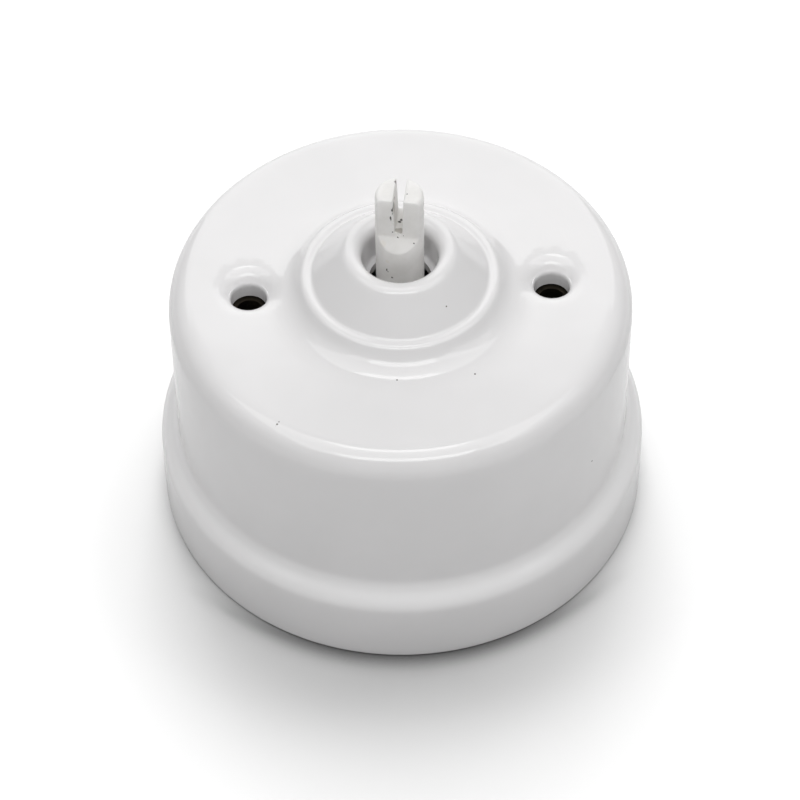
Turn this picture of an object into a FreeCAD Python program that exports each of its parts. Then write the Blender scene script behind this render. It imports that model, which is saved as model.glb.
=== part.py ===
import FreeCAD, Part

import math
import operator
import os

import Sketcher

# Porcelain rotary light switch, surface mounted, shown without its knob and without its cover screws.
# Frame: the wall is the plane z = 0 and +Z points out of it, X runs through the two cover screw holes,
# and the spindle turns about the Z axis. All lengths are millimetres.

SIZES = [
    # cover
    ("flange_diameter", 65.0, "cover: across the flange that meets the wall"),
    ("flange_height", 7.1, "cover: straight wall of the flange"),
    ("cove_height", 7.8, "cover: height of the S curve from flange to drum"),
    ("flange_step", 2.4, "cover: how far the flange stands out from the drum"),
    ("plateau_height", 36.8, "cover: flat top above the wall"),
    ("shoulder_round", 2.8, "cover: round between drum and flat top"),
    ("foot_round", 0.5, "cover: round at the flange's lower edge"),
    ("cover_wall", 4.1, "cover: side wall"),
    ("top_wall", 3.4, "cover: top wall"),
    ("ceiling_round", 2.0, "cover: round between the inner wall and the ceiling"),
    ("boss_diameter", 33.8, "cover: where the raised boss leaves the flat top"),
    ("bead_diameter", 24.6, "cover: crest of the bead ring round the boss"),
    ("bead_height", 2.25, "cover: crest of the bead above the flat top"),
    ("bead_width", 1.3, "cover: width of the bead"),
    ("bead_drop", 0.28, "cover: height of the bead above its own edges"),
    ("cone_foot_height", 2.35, "cover: foot of the cone above the flat top"),
    ("cone_slope", 40.0, "cover: slope of the cone in degrees"),
    ("cone_foot_round", 0.7, "cover: round at the foot of the cone"),
    ("lip_height", 5.8, "cover: lip of the bore above the flat top"),
    ("lip_round", 1.35, "cover: round of the lip"),
    ("bore_diameter", 9.8, "cover: bore for the spindle"),
    ("bore_length", 5.4, "cover: bore from lip to inner face"),
    ("land_diameter", 9.2, "cover: narrower land at the bore's lower end"),
    ("land_height", 1.2, "cover: height of that land"),
    ("hollow_diameter", 16.0, "cover: hollow under the boss, at its top"),
    ("hollow_mouth", 19.2, "cover: hollow under the boss, at the ceiling"),
    ("screw_inset", 10.45, "cover screw hole: centre, from the side of the drum"),
    ("screw_hole", 4.72, "cover screw hole"),
    ("dish_width", 2.6, "width of the dish round a cover screw hole"),
    ("dish_depth", 1.45, "depth of that dish"),
    ("dish_flare", 0.6, "steep edge of that dish where it meets the boss"),
    # base
    ("seat_height", 10.0, "base: deck and cover seat above the wall"),
    ("base_gap", 0.3, "gap between the base and the cover round it"),
    ("base_hollow", 3.0, "base: depth of the hollow underside"),
    ("base_rim", 4.0, "base: width of the rim that meets the wall"),
    ("pillar_diameter", 9.2, "base: pillar under a cover screw"),
    ("pillar_gap", 0.3, "gap between pillar and ceiling"),
    ("wall_slot_width", 4.4, "wall screw slot, width"),
    ("wall_slot_inside", 1.1, "wall screw slot: inner end, from the yoke's foot"),
    ("wall_slot_outside", 2.5, "wall screw slot: outer end, from the side of the base"),
    ("cable_hole", 11.0, "cable hole through the base"),
    ("cable_inset", 7.3, "cable hole: centre, from the inner wall of the cover"),
    ("base_round", 0.4, "base: round of the outer edges and of the cable hole"),
    ("pillar_bevel", 0.4, "base: bevel at the top of a pillar"),
    # fits
    ("fixed_gap", 0.05, "gap all round between fixed pieces"),
    ("running_gap", 0.05, "gap between turning and fixed faces"),
    ("wipe_gap", 0.1, "gap left under the moving contact"),
    # threaded inserts
    ("insert_diameter", 5.2, "threaded insert, outside"),
    ("insert_length", 9.0, "threaded insert, length"),
    ("insert_thread", 3.5, "threaded insert, thread"),
    # spindle
    ("spindle_height", 54.0, "spindle: top above the wall"),
    ("stub_diameter", 6.2, "spindle: knob stub"),
    ("stub_round", 0.65, "spindle: round at the top"),
    ("flat_length", 6.3, "spindle: flat, from the top down"),
    ("flat_thickness", 4.6, "spindle: from the flat to the back"),
    ("flat_runout", 1.6, "spindle: height of the slope at the end of the flat"),
    ("flat_turn", -9.5, "spindle: turn of the flat, in degrees"),
    ("slit_top", 1.36, "spindle: slit, width at the top"),
    ("slit_floor", 1.0, "spindle: slit, width at the floor"),
    ("slit_depth", 5.8, "spindle: slit, depth"),
    ("journal_diameter", 7.0, "spindle: journal in the bush"),
    ("journal_proud", 2.2, "spindle: journal above the bush"),
    ("collar_diameter", 9.2, "spindle: collar under the bush"),
    ("collar_height", 1.4, "spindle: height of the collar"),
    ("square_width", 5.0, "spindle: square that drives the rotor"),
    ("pivot_diameter", 4.0, "spindle: pivot in the base"),
    ("pivot_depth", 3.8, "spindle: pivot below the deck"),
    # rotor
    ("contact_lift", 3.2, "moving contact above the deck"),
    ("blade_thickness", 0.8, "moving contact: sheet"),
    ("blade_span", 22.0, "moving contact: tip to tip"),
    ("blade_width", 6.0, "moving contact: width of the arms"),
    ("blade_disc", 14.0, "moving contact: collector disc"),
    ("rotor_washer_diameter", 7.8, "washer under the moving contact"),
    ("rotor_washer_thickness", 0.6, "that washer, thickness"),
    ("hub_diameter", 13.0, "rotor hub"),
    ("hub_height", 5.4, "rotor hub, height"),
    ("hub_neck", 9.4, "rotor hub: neck under the cam"),
    ("hub_neck_height", 1.6, "rotor hub: height of the neck"),
    ("cam_width", 10.0, "index cam, across flats"),
    ("cam_height", 4.4, "index cam, height"),
    ("cam_round", 1.2, "index cam, round of the corners"),
    # bearing
    ("thrust_thickness", 0.5, "thrust washer, thickness"),
    ("thrust_diameter", 11.0, "thrust washer, outside"),
    ("bush_flange", 12.6, "bearing bush: flange under the yoke"),
    ("bush_flange_thickness", 0.8, "bearing bush: flange, thickness"),
    ("bush_diameter", 9.0, "bearing bush: outside"),
    ("bush_rise", 6.0, "bearing bush: height above the yoke"),
    ("nut_flats", 12.5, "bush nut, across flats"),
    ("nut_height", 2.5, "bush nut, height"),
    # yoke
    ("yoke_sheet", 1.2, "yoke: sheet thickness"),
    ("yoke_width", 11.0, "yoke: width of the strip"),
    ("yoke_foot", 5.9, "yoke: length of a foot"),
    ("yoke_screw_inset", 3.4, "yoke: screw from the inside of the leg"),
    ("yoke_bend", 0.6, "yoke: inside radius of a fold"),
    ("blade_clearance", 1.2, "between blade tips and yoke legs"),
    ("shelf_clearance", 2.0, "between the blades and the yoke's shelf"),
    ("hub_clearance", 0.9, "between the hub and the yoke's upper legs"),
    # index springs
    ("index_sheet", 0.35, "index spring: sheet"),
    ("index_height", 4.0, "index spring: height"),
    ("index_hook", 0.9, "index spring: length of the hooks"),
    # terminals
    ("terminal_share", 0.7115, "terminal: middle, as a share of the radius inside the cover"),
    ("terminal_length", 8.0, "terminal block, along the radius"),
    ("terminal_width", 9.0, "terminal block, width"),
    ("terminal_height", 9.0, "terminal block, height"),
    ("terminal_edge", 0.5, "terminal block, bevel of the upright edges"),
    ("wire_bore", 3.2, "terminal block, wire bore"),
    ("wire_lift", 5.1, "terminal block, wire bore above its foot"),
    # contact springs
    ("spring_sheet", 0.5, "contact spring: sheet"),
    ("spring_width", 5.0, "contact spring: width"),
    ("spring_knee", 0.3, "contact spring: knee from the terminal block"),
    ("spring_slope", 2.8, "contact spring: length of the sloping stretch"),
    ("button_diameter", 2.6, "contact button"),
    ("button_height", 0.7, "contact button, height"),
    ("button_inset", 1.4, "contact button, from the edge that it wipes"),
    # screws
    ("screw_thread", 3.0, "small screws: thread"),
    ("screw_head", 5.0, "small screws: head"),
    ("screw_head_height", 2.0, "small screws: height of the head"),
    ("screw_slot", 0.8, "small screws: slot width"),
    ("screw_slot_depth", 0.9, "small screws: slot depth"),
    ("screw_head_sink", 0.2, "base screws: head below the hollow's roof"),
    ("screw_grip", 8.0, "base screws: shank"),
    ("shank_gap", 0.1, "base screws: gap all round a shank"),
    ("head_gap", 0.2, "base screws: gap all round a head"),
    ("clamp_reach", 2.8, "clamp screws: shank"),
    ("clamp_lift", 0.4, "clamp screws: head above the terminal block"),
]

TERMINALS = [("common", 225.0), ("one", 45.0), ("two", 135.0)]  # angles from the X axis, in degrees
TERMINAL_STEP = 90.0  # the terminals stand a quarter turn apart, and the rotor steps by as much
BLADE_TURN = 45.0  # the moving contact rests on the first way
CABLE_TURN = 315.0  # the cable comes in at the free corner

OPERATIONS = {"+": operator.add, "-": operator.sub, "*": operator.mul, "/": operator.truediv}


class Size:
    """A size as a number, and as the sheet expression that gives that number."""

    def __init__(self, value, text):
        self.value = value
        self.text = text

    def __add__(self, other):
        return combined(self, "+", other)

    def __sub__(self, other):
        return combined(self, "-", other)

    def __mul__(self, other):
        return combined(self, "*", other)

    def __truediv__(self, other):
        return combined(self, "/", other)

    def __neg__(self):
        return combined(0.0, "-", self)


def as_size(number):
    if isinstance(number, Size):
        return number
    return Size(float(number), repr(float(number)))


def combined(first, sign, second):
    first = as_size(first)
    second = as_size(second)
    value = OPERATIONS[sign](first.value, second.value)
    return Size(value, f"({first.text} {sign} {second.text})")


def of_angle(name, angle):
    """The sine, cosine or tangent of an angle in degrees."""
    value = getattr(math, name)(math.radians(angle.value))
    return Size(value, f"{name}({angle.text} * 1 deg)")


def polar(reach, degrees):
    """The x and y of a point on a ray from the middle."""
    angle = as_size(degrees)
    return reach * of_angle("cos", angle), reach * of_angle("sin", angle)


def arc_radius(run, rise):
    """Radius of an arc that starts along its run and has turned off it by its rise."""
    return (run * run + rise * rise) / (rise * 2)


# Sheet of driving sizes

doc = FreeCAD.newDocument("porcelain_rotary_switch")
sheet = doc.addObject("Spreadsheet::Sheet", "Sizes")
for row, (alias, number, note) in enumerate(SIZES, 1):
    sheet.set(f"A{row}", note)
    sheet.set(f"B{row}", str(number))
    sheet.setAlias(f"B{row}", alias)
doc.recompute()

size = {alias: Size(number, f"Sizes.{alias}") for alias, number, note in SIZES}


# Sketches and features

def new_body(name):
    body = doc.addObject("PartDesign::Body", name)
    body.Label = name
    return body


def sketch_on(body, name, role, lift=None, turn=None):
    """A sketch on one of the body's origin planes, lifted off it or turned about the Z axis."""
    plane = next(item for item in body.Origin.OriginFeatures if item.Role == role)
    sketch = body.newObject("Sketcher::SketchObject", name)
    sketch.AttachmentSupport = [(plane, "")]
    sketch.MapMode = "FlatFace"
    if turn is not None:
        upright = FreeCAD.Vector(0, 0, 1) if role == "XY_Plane" else FreeCAD.Vector(0, 1, 0)
        turned = FreeCAD.Rotation(upright, turn.value)
        sketch.AttachmentOffset = FreeCAD.Placement(FreeCAD.Vector(), turned)
        sketch.setExpression("AttachmentOffset.Rotation.Angle", turn.text)
    if lift is not None:
        sketch.setExpression("AttachmentOffset.Base.z", lift.text)
    return sketch


def bind(sketch, kind, geometry, point, length):
    """Hold one coordinate of a point at a size, or on an axis where the size is nothing."""
    if abs(length.value) < 1e-9:
        axis = -2 if kind == "DistanceX" else -1
        sketch.addConstraint(Sketcher.Constraint("PointOnObject", geometry, point, axis))
        return
    number = sketch.addConstraint(Sketcher.Constraint(kind, -1, 1, geometry, point, length.value))
    sketch.setExpression(f"Constraints[{number}]", length.text)


def bind_radius(sketch, geometry, radius):
    number = sketch.addConstraint(Sketcher.Constraint("Radius", geometry, radius.value))
    sketch.setExpression(f"Constraints[{number}]", radius.text)


def arc_between(start, end, radius, side):
    """The short arc between two points, with its centre left (1) or right (-1) of the way along."""
    chord = end - start
    half = chord.Length / 2
    across = FreeCAD.Vector(-chord.y, chord.x, 0).normalize()
    centre = (start + end) / 2 + across * side * math.sqrt(max(radius * radius - half * half, 0.0))
    angles = [math.atan2(point.y - centre.y, point.x - centre.x) for point in (start, end)]
    if side < 0:
        angles.reverse()
    if angles[1] < angles[0]:
        angles[1] += 2 * math.pi
    circle = Part.Circle(centre, FreeCAD.Vector(0, 0, 1), radius)
    return Part.ArcOfCircle(circle, *angles)


def draw_outline(sketch, corners):
    """A closed outline. A corner is (x, y), or (x, y, radius, side) where an arc leads on from it."""
    corners = [tuple(as_size(item) for item in corner[:3]) + corner[3:] for corner in corners]
    points = [FreeCAD.Vector(corner[0].value, corner[1].value, 0) for corner in corners]
    ends = []
    for index, corner in enumerate(corners):
        start = points[index]
        end = points[(index + 1) % len(points)]
        if len(corner) == 2:
            geometry = sketch.addGeometry(Part.LineSegment(start, end))
            ends.append((geometry, 1, 2))
            continue
        radius, side = corner[2], corner[3]
        geometry = sketch.addGeometry(arc_between(start, end, radius.value, side))
        ends.append((geometry, 1, 2) if side > 0 else (geometry, 2, 1))
    for index, (geometry, first, last) in enumerate(ends):
        following, its_first = ends[(index + 1) % len(ends)][:2]
        sketch.addConstraint(Sketcher.Constraint("Coincident", geometry, last, following, its_first))
    for (geometry, first, last), corner in zip(ends, corners):
        bind(sketch, "DistanceX", geometry, first, corner[0])
        bind(sketch, "DistanceY", geometry, first, corner[1])
        if len(corner) > 2:
            bind_radius(sketch, geometry, corner[2])


def draw_circle(sketch, x, y, diameter):
    x, y = as_size(x), as_size(y)
    centre = FreeCAD.Vector(x.value, y.value, 0)
    circle = Part.Circle(centre, FreeCAD.Vector(0, 0, 1), diameter.value / 2)
    geometry = sketch.addGeometry(circle)
    bind(sketch, "DistanceX", geometry, 3, x)
    bind(sketch, "DistanceY", geometry, 3, y)
    bind_radius(sketch, geometry, diameter / 2)


def draw_box(sketch, left, right, low, high):
    draw_outline(sketch, [(left, low), (right, low), (right, high), (left, high)])


def draw_square(sketch, width):
    draw_box(sketch, -width / 2, width / 2, -width / 2, width / 2)


def draw_hexagon(sketch, flats):
    corner = flats / 2 / of_angle("cos", as_size(30.0))
    draw_outline(sketch, [polar(corner, 60.0 * side) for side in range(6)])


def pad(body, sketch, name, length, both_ways=False):
    feature = body.newObject("PartDesign::Pad", name)
    feature.Profile = sketch
    feature.setExpression("Length", length.text)
    feature.SideType = "Symmetric" if both_ways else "One side"
    return feature


def pocket(body, sketch, name, length=None, upwards=False, both_ways=False):
    """A cut from the sketch, down the plane's normal or up it, or right through both ways."""
    doc.recompute()
    before = body.Shape.Volume
    feature = body.newObject("PartDesign::Pocket", name)
    feature.Profile = sketch
    feature.Reversed = upwards
    feature.SideType = "Symmetric" if both_ways else "One side"
    if length is None:
        feature.Type = "ThroughAll"
    else:
        feature.setExpression("Length", length.text)
    check_cut(body, name, before)
    return feature


def revolve(body, sketch, name):
    feature = body.newObject("PartDesign::Revolution", name)
    feature.Profile = sketch
    feature.ReferenceAxis = (sketch, ["V_Axis"])
    feature.Angle = 360
    return feature


def check_cut(body, name, before):
    doc.recompute()
    if not body.Shape.Volume < before:
        raise RuntimeError(f"{name} cuts nothing")


def rings_at(shape, radius, height, place=None):
    """Names of the level round edges with this radius at this height, about the Z axis or about a place."""
    middle_x, middle_y = place or (as_size(0.0), as_size(0.0))
    names = []
    for index, edge in enumerate(shape.Edges, 1):
        if not isinstance(edge.Curve, Part.Circle):
            continue
        centre = edge.Curve.Center
        off = abs(edge.Curve.Radius - radius.value) + abs(centre.z - height.value)
        if off + math.hypot(centre.x - middle_x.value, centre.y - middle_y.value) < 1e-4:
            names.append(f"Edge{index}")
    return names


def folds_at(shape, places):
    """Names of the straight edges along the X axis that pass through these y and z."""
    names = []
    for index, edge in enumerate(shape.Edges, 1):
        point = edge.Vertexes[0].Point
        along_x = isinstance(edge.Curve, Part.Line) and abs(abs(edge.Curve.Direction.x) - 1) < 1e-6
        near = [math.hypot(abs(point.y) - y.value, point.z - z.value) < 1e-4 for y, z in places]
        if along_x and any(near):
            names.append(f"Edge{index}")
    return names


def upright_edges(shape):
    """Names of the straight edges that run along the Z axis."""
    names = []
    for index, edge in enumerate(shape.Edges, 1):
        if isinstance(edge.Curve, Part.Line) and abs(abs(edge.Curve.Direction.z) - 1) < 1e-6:
            names.append(f"Edge{index}")
    return names


def ease(body, kind, name, edges, amount):
    """A Fillet or a Chamfer on named edges of the body as it stands."""
    if not edges:
        raise RuntimeError(f"{name} finds no edge")
    base = body.Tip
    feature = body.newObject(f"PartDesign::{kind}", name)
    feature.Base = (base, edges)
    feature.setExpression("Radius" if kind == "Fillet" else "Size", amount.text)
    body.Tip = feature
    doc.recompute()
    return feature


def mirrored(body, features, name, role):
    plane = next(item for item in body.Origin.OriginFeatures if item.Role == role)
    feature = body.newObject("PartDesign::Mirrored", name)
    feature.Originals = features
    feature.MirrorPlane = (plane, [""])
    body.Tip = feature
    return feature


def round_copies(body, features, name, count, angle):
    """Copies of features about the Z axis, spread over an angle in degrees."""
    axis = next(item for item in body.Origin.OriginFeatures if item.Role == "Z_Axis")
    feature = body.newObject("PartDesign::PolarPattern", name)
    feature.Originals = features
    feature.Axis = (axis, [""])
    feature.Angle = angle
    feature.Occurrences = count
    body.Tip = feature
    return feature


def turn_about_spindle(body, degrees):
    body.Placement = FreeCAD.Placement(FreeCAD.Vector(), FreeCAD.Rotation(FreeCAD.Vector(0, 0, 1), degrees))


# Levels and radii that several pieces share

flange_radius = size["flange_diameter"] / 2
drum_radius = flange_radius - size["flange_step"]
plateau = size["plateau_height"]
ceiling = plateau - size["top_wall"]
cavity_radius = drum_radius - size["cover_wall"]
mouth_radius = flange_radius - size["cover_wall"]
screw_reach = drum_radius - size["screw_inset"]
terminal_reach = cavity_radius * size["terminal_share"]

deck = size["seat_height"]
base_radius = mouth_radius - size["base_gap"]
pillar_top = ceiling - size["pillar_gap"]
screw_seat = size["base_hollow"] + size["screw_head_sink"] + size["screw_head_height"]
screw_tip = screw_seat + size["screw_grip"]
screw_clearance_hole = size["screw_thread"] + size["shank_gap"] * 2
screw_thread_hole = size["screw_thread"] + size["fixed_gap"] * 2

blade_low = deck + size["contact_lift"]
blade_top = blade_low + size["blade_thickness"]
hub_top = blade_top + size["hub_height"]
cam_top = hub_top + size["cam_height"]
collar_top = cam_top + size["collar_height"]
thrust_low = collar_top + size["running_gap"]
thrust_top = thrust_low + size["thrust_thickness"]
bush_low = thrust_top + size["running_gap"]
plate_low = bush_low + size["bush_flange_thickness"]
plate_top = plate_low + size["yoke_sheet"]
bush_top = plate_top + size["bush_rise"]
journal_top = bush_top + size["journal_proud"]
square_hole = size["square_width"] + size["fixed_gap"] * 2

leg_inside = size["blade_span"] / 2 + size["blade_clearance"]
leg_outside = leg_inside + size["yoke_sheet"]
foot_end = leg_inside + size["yoke_foot"]
yoke_screw_reach = leg_inside + size["yoke_screw_inset"]
upper_inside = size["hub_diameter"] / 2 + size["hub_clearance"]
upper_outside = upper_inside + size["yoke_sheet"]
shelf_low = blade_top + size["shelf_clearance"]
shelf_top = shelf_low + size["yoke_sheet"]

block_low = deck + size["spring_sheet"]
block_top = block_low + size["terminal_height"]
wire_level = block_low + size["wire_lift"]
spring_top = blade_low - size["wipe_gap"] - size["button_height"]
spring_low = spring_top - size["spring_sheet"]
way_reach = size["blade_span"] / 2 - size["button_inset"]
common_reach = size["blade_disc"] / 2 - size["button_inset"]


# Porcelain

def make_cover():
    """The cover: one glazed porcelain shell with a flange, a drum and a stepped boss round the bore."""
    body = new_body("porcelain_cover")
    cove_top = size["flange_height"] + size["cove_height"]
    cove_run = (flange_radius - drum_radius) / 2
    cove_radius = arc_radius(size["cove_height"] / 2, cove_run)
    cove_middle = (flange_radius - cove_run, size["flange_height"] + size["cove_height"] / 2)
    boss_radius = size["boss_diameter"] / 2
    bead_half = size["bead_width"] / 2
    bead_outside = size["bead_diameter"] / 2 + bead_half
    bead_inside = size["bead_diameter"] / 2 - bead_half
    bead_edge = plateau + size["bead_height"] - size["bead_drop"]
    rise_radius = arc_radius(boss_radius - bead_outside, bead_edge - plateau)
    bead_radius = arc_radius(bead_half, size["bead_drop"])
    lip_top = plateau + size["lip_height"]
    bore_radius = size["bore_diameter"] / 2
    lip_level = lip_top - size["lip_round"]
    cone_radius = bore_radius + size["lip_round"] + size["lip_round"] * of_angle("sin", size["cone_slope"])
    cone_top = lip_level + size["lip_round"] * of_angle("cos", size["cone_slope"])
    cone_foot = plateau + size["cone_foot_height"]
    cone_foot_radius = cone_radius + (cone_top - cone_foot) / of_angle("tan", size["cone_slope"])
    inner_top = lip_top - size["bore_length"]
    land_radius = size["land_diameter"] / 2
    land_top = inner_top + size["land_height"]
    section = sketch_on(body, "cover_section", "XZ_Plane")
    draw_outline(section, [
        (flange_radius, 0),
        (flange_radius, size["flange_height"], cove_radius, 1),
        (*cove_middle, cove_radius, -1),
        (drum_radius, cove_top),
        (drum_radius, plateau),
        (boss_radius, plateau, rise_radius, -1),
        (bead_outside, bead_edge, bead_radius, 1),
        (bead_inside, bead_edge),
        (cone_foot_radius, cone_foot),
        (cone_radius, cone_top, size["lip_round"], 1),
        (bore_radius, lip_level),
        (bore_radius, land_top),
        (land_radius, land_top),
        (land_radius, inner_top),
        (size["hollow_diameter"] / 2, inner_top),
        (size["hollow_mouth"] / 2, ceiling),
        (cavity_radius, ceiling),
        (cavity_radius, deck),
        (mouth_radius, deck),
        (mouth_radius, 0),
    ])
    revolve(body, section, "cover_shell")
    doc.recompute()
    rounds = [
        ("shoulder", drum_radius, plateau, size["shoulder_round"]),
        ("flange_foot", flange_radius, as_size(0.0), size["foot_round"]),
        ("cone_foot", cone_foot_radius, cone_foot, size["cone_foot_round"]),
        ("ceiling_corner", cavity_radius, ceiling, size["ceiling_round"]),
    ]
    for name, radius, height, amount in rounds:
        ease(body, "Fillet", f"{name}_round", rings_at(body.Shape, radius, height), amount)
    make_cover_holes(body)
    return body


def make_cover_holes(body):
    """Two screw holes, each in a shallow dish with a rounded mouth."""
    hole_radius = size["screw_hole"] / 2
    dish_radius = hole_radius + size["dish_width"]
    dish_arc = arc_radius(size["dish_width"], size["dish_depth"])
    cut_top = plateau + size["dish_flare"] * 2
    sketch = sketch_on(body, "dish_section", "XZ_Plane")
    axis = sketch.addGeometry(Part.LineSegment(
        FreeCAD.Vector(screw_reach.value, 0, 0), FreeCAD.Vector(screw_reach.value, plateau.value, 0)), True)
    bind(sketch, "DistanceX", axis, 1, screw_reach)
    bind(sketch, "DistanceX", axis, 2, screw_reach)
    bind(sketch, "DistanceY", axis, 1, as_size(0.0))
    bind(sketch, "DistanceY", axis, 2, plateau)
    low = ceiling - size["dish_depth"]
    draw_outline(sketch, [
        (screw_reach, low),
        (screw_reach + hole_radius, low),
        (screw_reach + hole_radius, plateau - size["dish_depth"], dish_arc, -1),
        (screw_reach + dish_radius, plateau),
        (screw_reach + dish_radius + size["dish_flare"], cut_top),
        (screw_reach, cut_top),
    ])
    doc.recompute()
    before = body.Shape.Volume
    cut = body.newObject("PartDesign::Groove", "screw_hole")
    cut.Profile = sketch
    cut.ReferenceAxis = (sketch, ["Axis0"])
    cut.Angle = 360
    check_cut(body, "screw_hole", before)
    mirrored(body, [cut], "screw_hole_pair", "YZ_Plane")
    doc.recompute()


def make_base():
    """The porcelain base: a disc hollowed underneath, with two pillars for the cover screws."""
    body = new_body("porcelain_base")
    hollow_radius = base_radius - size["base_rim"]
    section = sketch_on(body, "base_section", "XZ_Plane")
    draw_outline(section, [
        (0, size["base_hollow"]),
        (hollow_radius, size["base_hollow"]),
        (hollow_radius, 0),
        (base_radius, 0),
        (base_radius, deck),
        (0, deck),
    ])
    revolve(body, section, "base_disc")
    pillars = sketch_on(body, "pillar_plan", "XY_Plane", lift=deck)
    for side in (-1, 1):
        draw_circle(pillars, screw_reach * side, 0, size["pillar_diameter"])
    pad(body, pillars, "pillars", pillar_top - deck)
    doc.recompute()
    rims = rings_at(body.Shape, base_radius, deck) + rings_at(body.Shape, base_radius, as_size(0.0))
    rims += rings_at(body.Shape, hollow_radius, as_size(0.0))
    ease(body, "Fillet", "base_rounds", rims, size["base_round"])
    tops = []
    for side in (-1, 1):
        pillar = (screw_reach * side, as_size(0.0))
        tops += rings_at(body.Shape, size["pillar_diameter"] / 2, pillar_top, pillar)
    ease(body, "Chamfer", "pillar_bevels", tops, size["pillar_bevel"])
    cut_insert_seats(body)
    cut_wall_slots(body)
    cut_base_holes(body)
    return body


def cut_insert_seats(body):
    seats = sketch_on(body, "insert_seat_plan", "XY_Plane", lift=pillar_top)
    for side in (-1, 1):
        draw_circle(seats, screw_reach * side, 0, size["insert_diameter"] + size["fixed_gap"] * 2)
    pocket(body, seats, "insert_seats", size["insert_length"])


def cut_wall_slots(body):
    """Two slots for the wall screws, square in the middle and round at the ends."""
    slot_inside = foot_end + size["wall_slot_inside"]
    slot_outside = base_radius - size["wall_slot_outside"]
    half_pitch = (slot_inside + slot_outside) / 2
    half_straight = (slot_outside - slot_inside - size["wall_slot_width"]) / 2
    half_width = size["wall_slot_width"] / 2
    straights = sketch_on(body, "slot_plan", "XY_Plane", lift=deck)
    draw_box(straights, -half_width, half_width, half_pitch - half_straight, half_pitch + half_straight)
    draw_box(straights, -half_width, half_width, -half_pitch - half_straight, -half_pitch + half_straight)
    pocket(body, straights, "slot_straights")
    for name, reach in (("inner", half_pitch - half_straight), ("outer", half_pitch + half_straight)):
        ends = sketch_on(body, f"slot_{name}_plan", "XY_Plane", lift=deck)
        draw_circle(ends, 0, reach, size["wall_slot_width"])
        draw_circle(ends, 0, -reach, size["wall_slot_width"])
        pocket(body, ends, f"slot_{name}_ends")


def base_screw_places():
    """Where the screws come up through the base: under each terminal and each foot of the yoke."""
    places = [polar(terminal_reach, degrees) for name, degrees in TERMINALS]
    return places + [(as_size(0.0), yoke_screw_reach), (as_size(0.0), -yoke_screw_reach)]


def cut_base_holes(body):
    """The cable hole, the spindle's socket, and the screw holes with room for their heads below."""
    cable = sketch_on(body, "cable_hole_plan", "XY_Plane", lift=deck)
    cable_place = polar(cavity_radius - size["cable_inset"], CABLE_TURN)
    draw_circle(cable, *cable_place, size["cable_hole"])
    pocket(body, cable, "cable_hole")
    for name, level in (("upper", deck), ("lower", size["base_hollow"])):
        edges = rings_at(body.Shape, size["cable_hole"] / 2, level, cable_place)
        ease(body, "Fillet", f"cable_hole_{name}_round", edges, size["base_round"])
    socket = sketch_on(body, "socket_plan", "XY_Plane", lift=deck)
    draw_circle(socket, 0, 0, size["pivot_diameter"] + size["running_gap"] * 2)
    pocket(body, socket, "pivot_socket", size["pivot_depth"] + size["running_gap"])
    shanks = sketch_on(body, "screw_hole_plan", "XY_Plane", lift=deck)
    heads = sketch_on(body, "screw_head_plan", "XY_Plane", lift=size["base_hollow"])
    for x, y in base_screw_places():
        draw_circle(shanks, x, y, screw_clearance_hole)
        draw_circle(heads, x, y, size["screw_head"] + size["head_gap"] * 2)
    pocket(body, shanks, "screw_holes")
    pocket(body, heads, "screw_head_seats", screw_seat - size["base_hollow"], upwards=True)


def make_insert(name, side):
    """A threaded brass insert in the top of a pillar."""
    body = new_body(name)
    section = sketch_on(body, f"{name}_plan", "XY_Plane", lift=pillar_top - size["insert_length"])
    draw_circle(section, screw_reach * side, 0, size["insert_diameter"])
    draw_circle(section, screw_reach * side, 0, size["insert_thread"])
    pad(body, section, f"{name}_sleeve", size["insert_length"])
    return body


# Spindle and rotor

def make_spindle():
    """The moulded spindle: pivot, driving square, collar, journal, and a slit knob stub with a flat."""
    body = new_body("spindle")
    pivot_radius = size["pivot_diameter"] / 2
    stub_radius = size["stub_diameter"] / 2
    top = size["spindle_height"]
    section = sketch_on(body, "spindle_section", "XZ_Plane")
    draw_outline(section, [
        (0, deck - size["pivot_depth"]),
        (pivot_radius, deck - size["pivot_depth"]),
        (pivot_radius, cam_top),
        (size["collar_diameter"] / 2, cam_top),
        (size["collar_diameter"] / 2, collar_top),
        (size["journal_diameter"] / 2, collar_top),
        (size["journal_diameter"] / 2, journal_top),
        (stub_radius, journal_top),
        (stub_radius, top),
        (0, top),
    ])
    revolve(body, section, "spindle_turned")
    square = sketch_on(body, "spindle_square_plan", "XY_Plane", lift=blade_low)
    draw_square(square, size["square_width"])
    pad(body, square, "spindle_square", cam_top - blade_low)
    doc.recompute()
    ease(body, "Fillet", "stub_round", rings_at(body.Shape, stub_radius, top), size["stub_round"])
    cut_stub(body, stub_radius, top)
    return body


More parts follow.
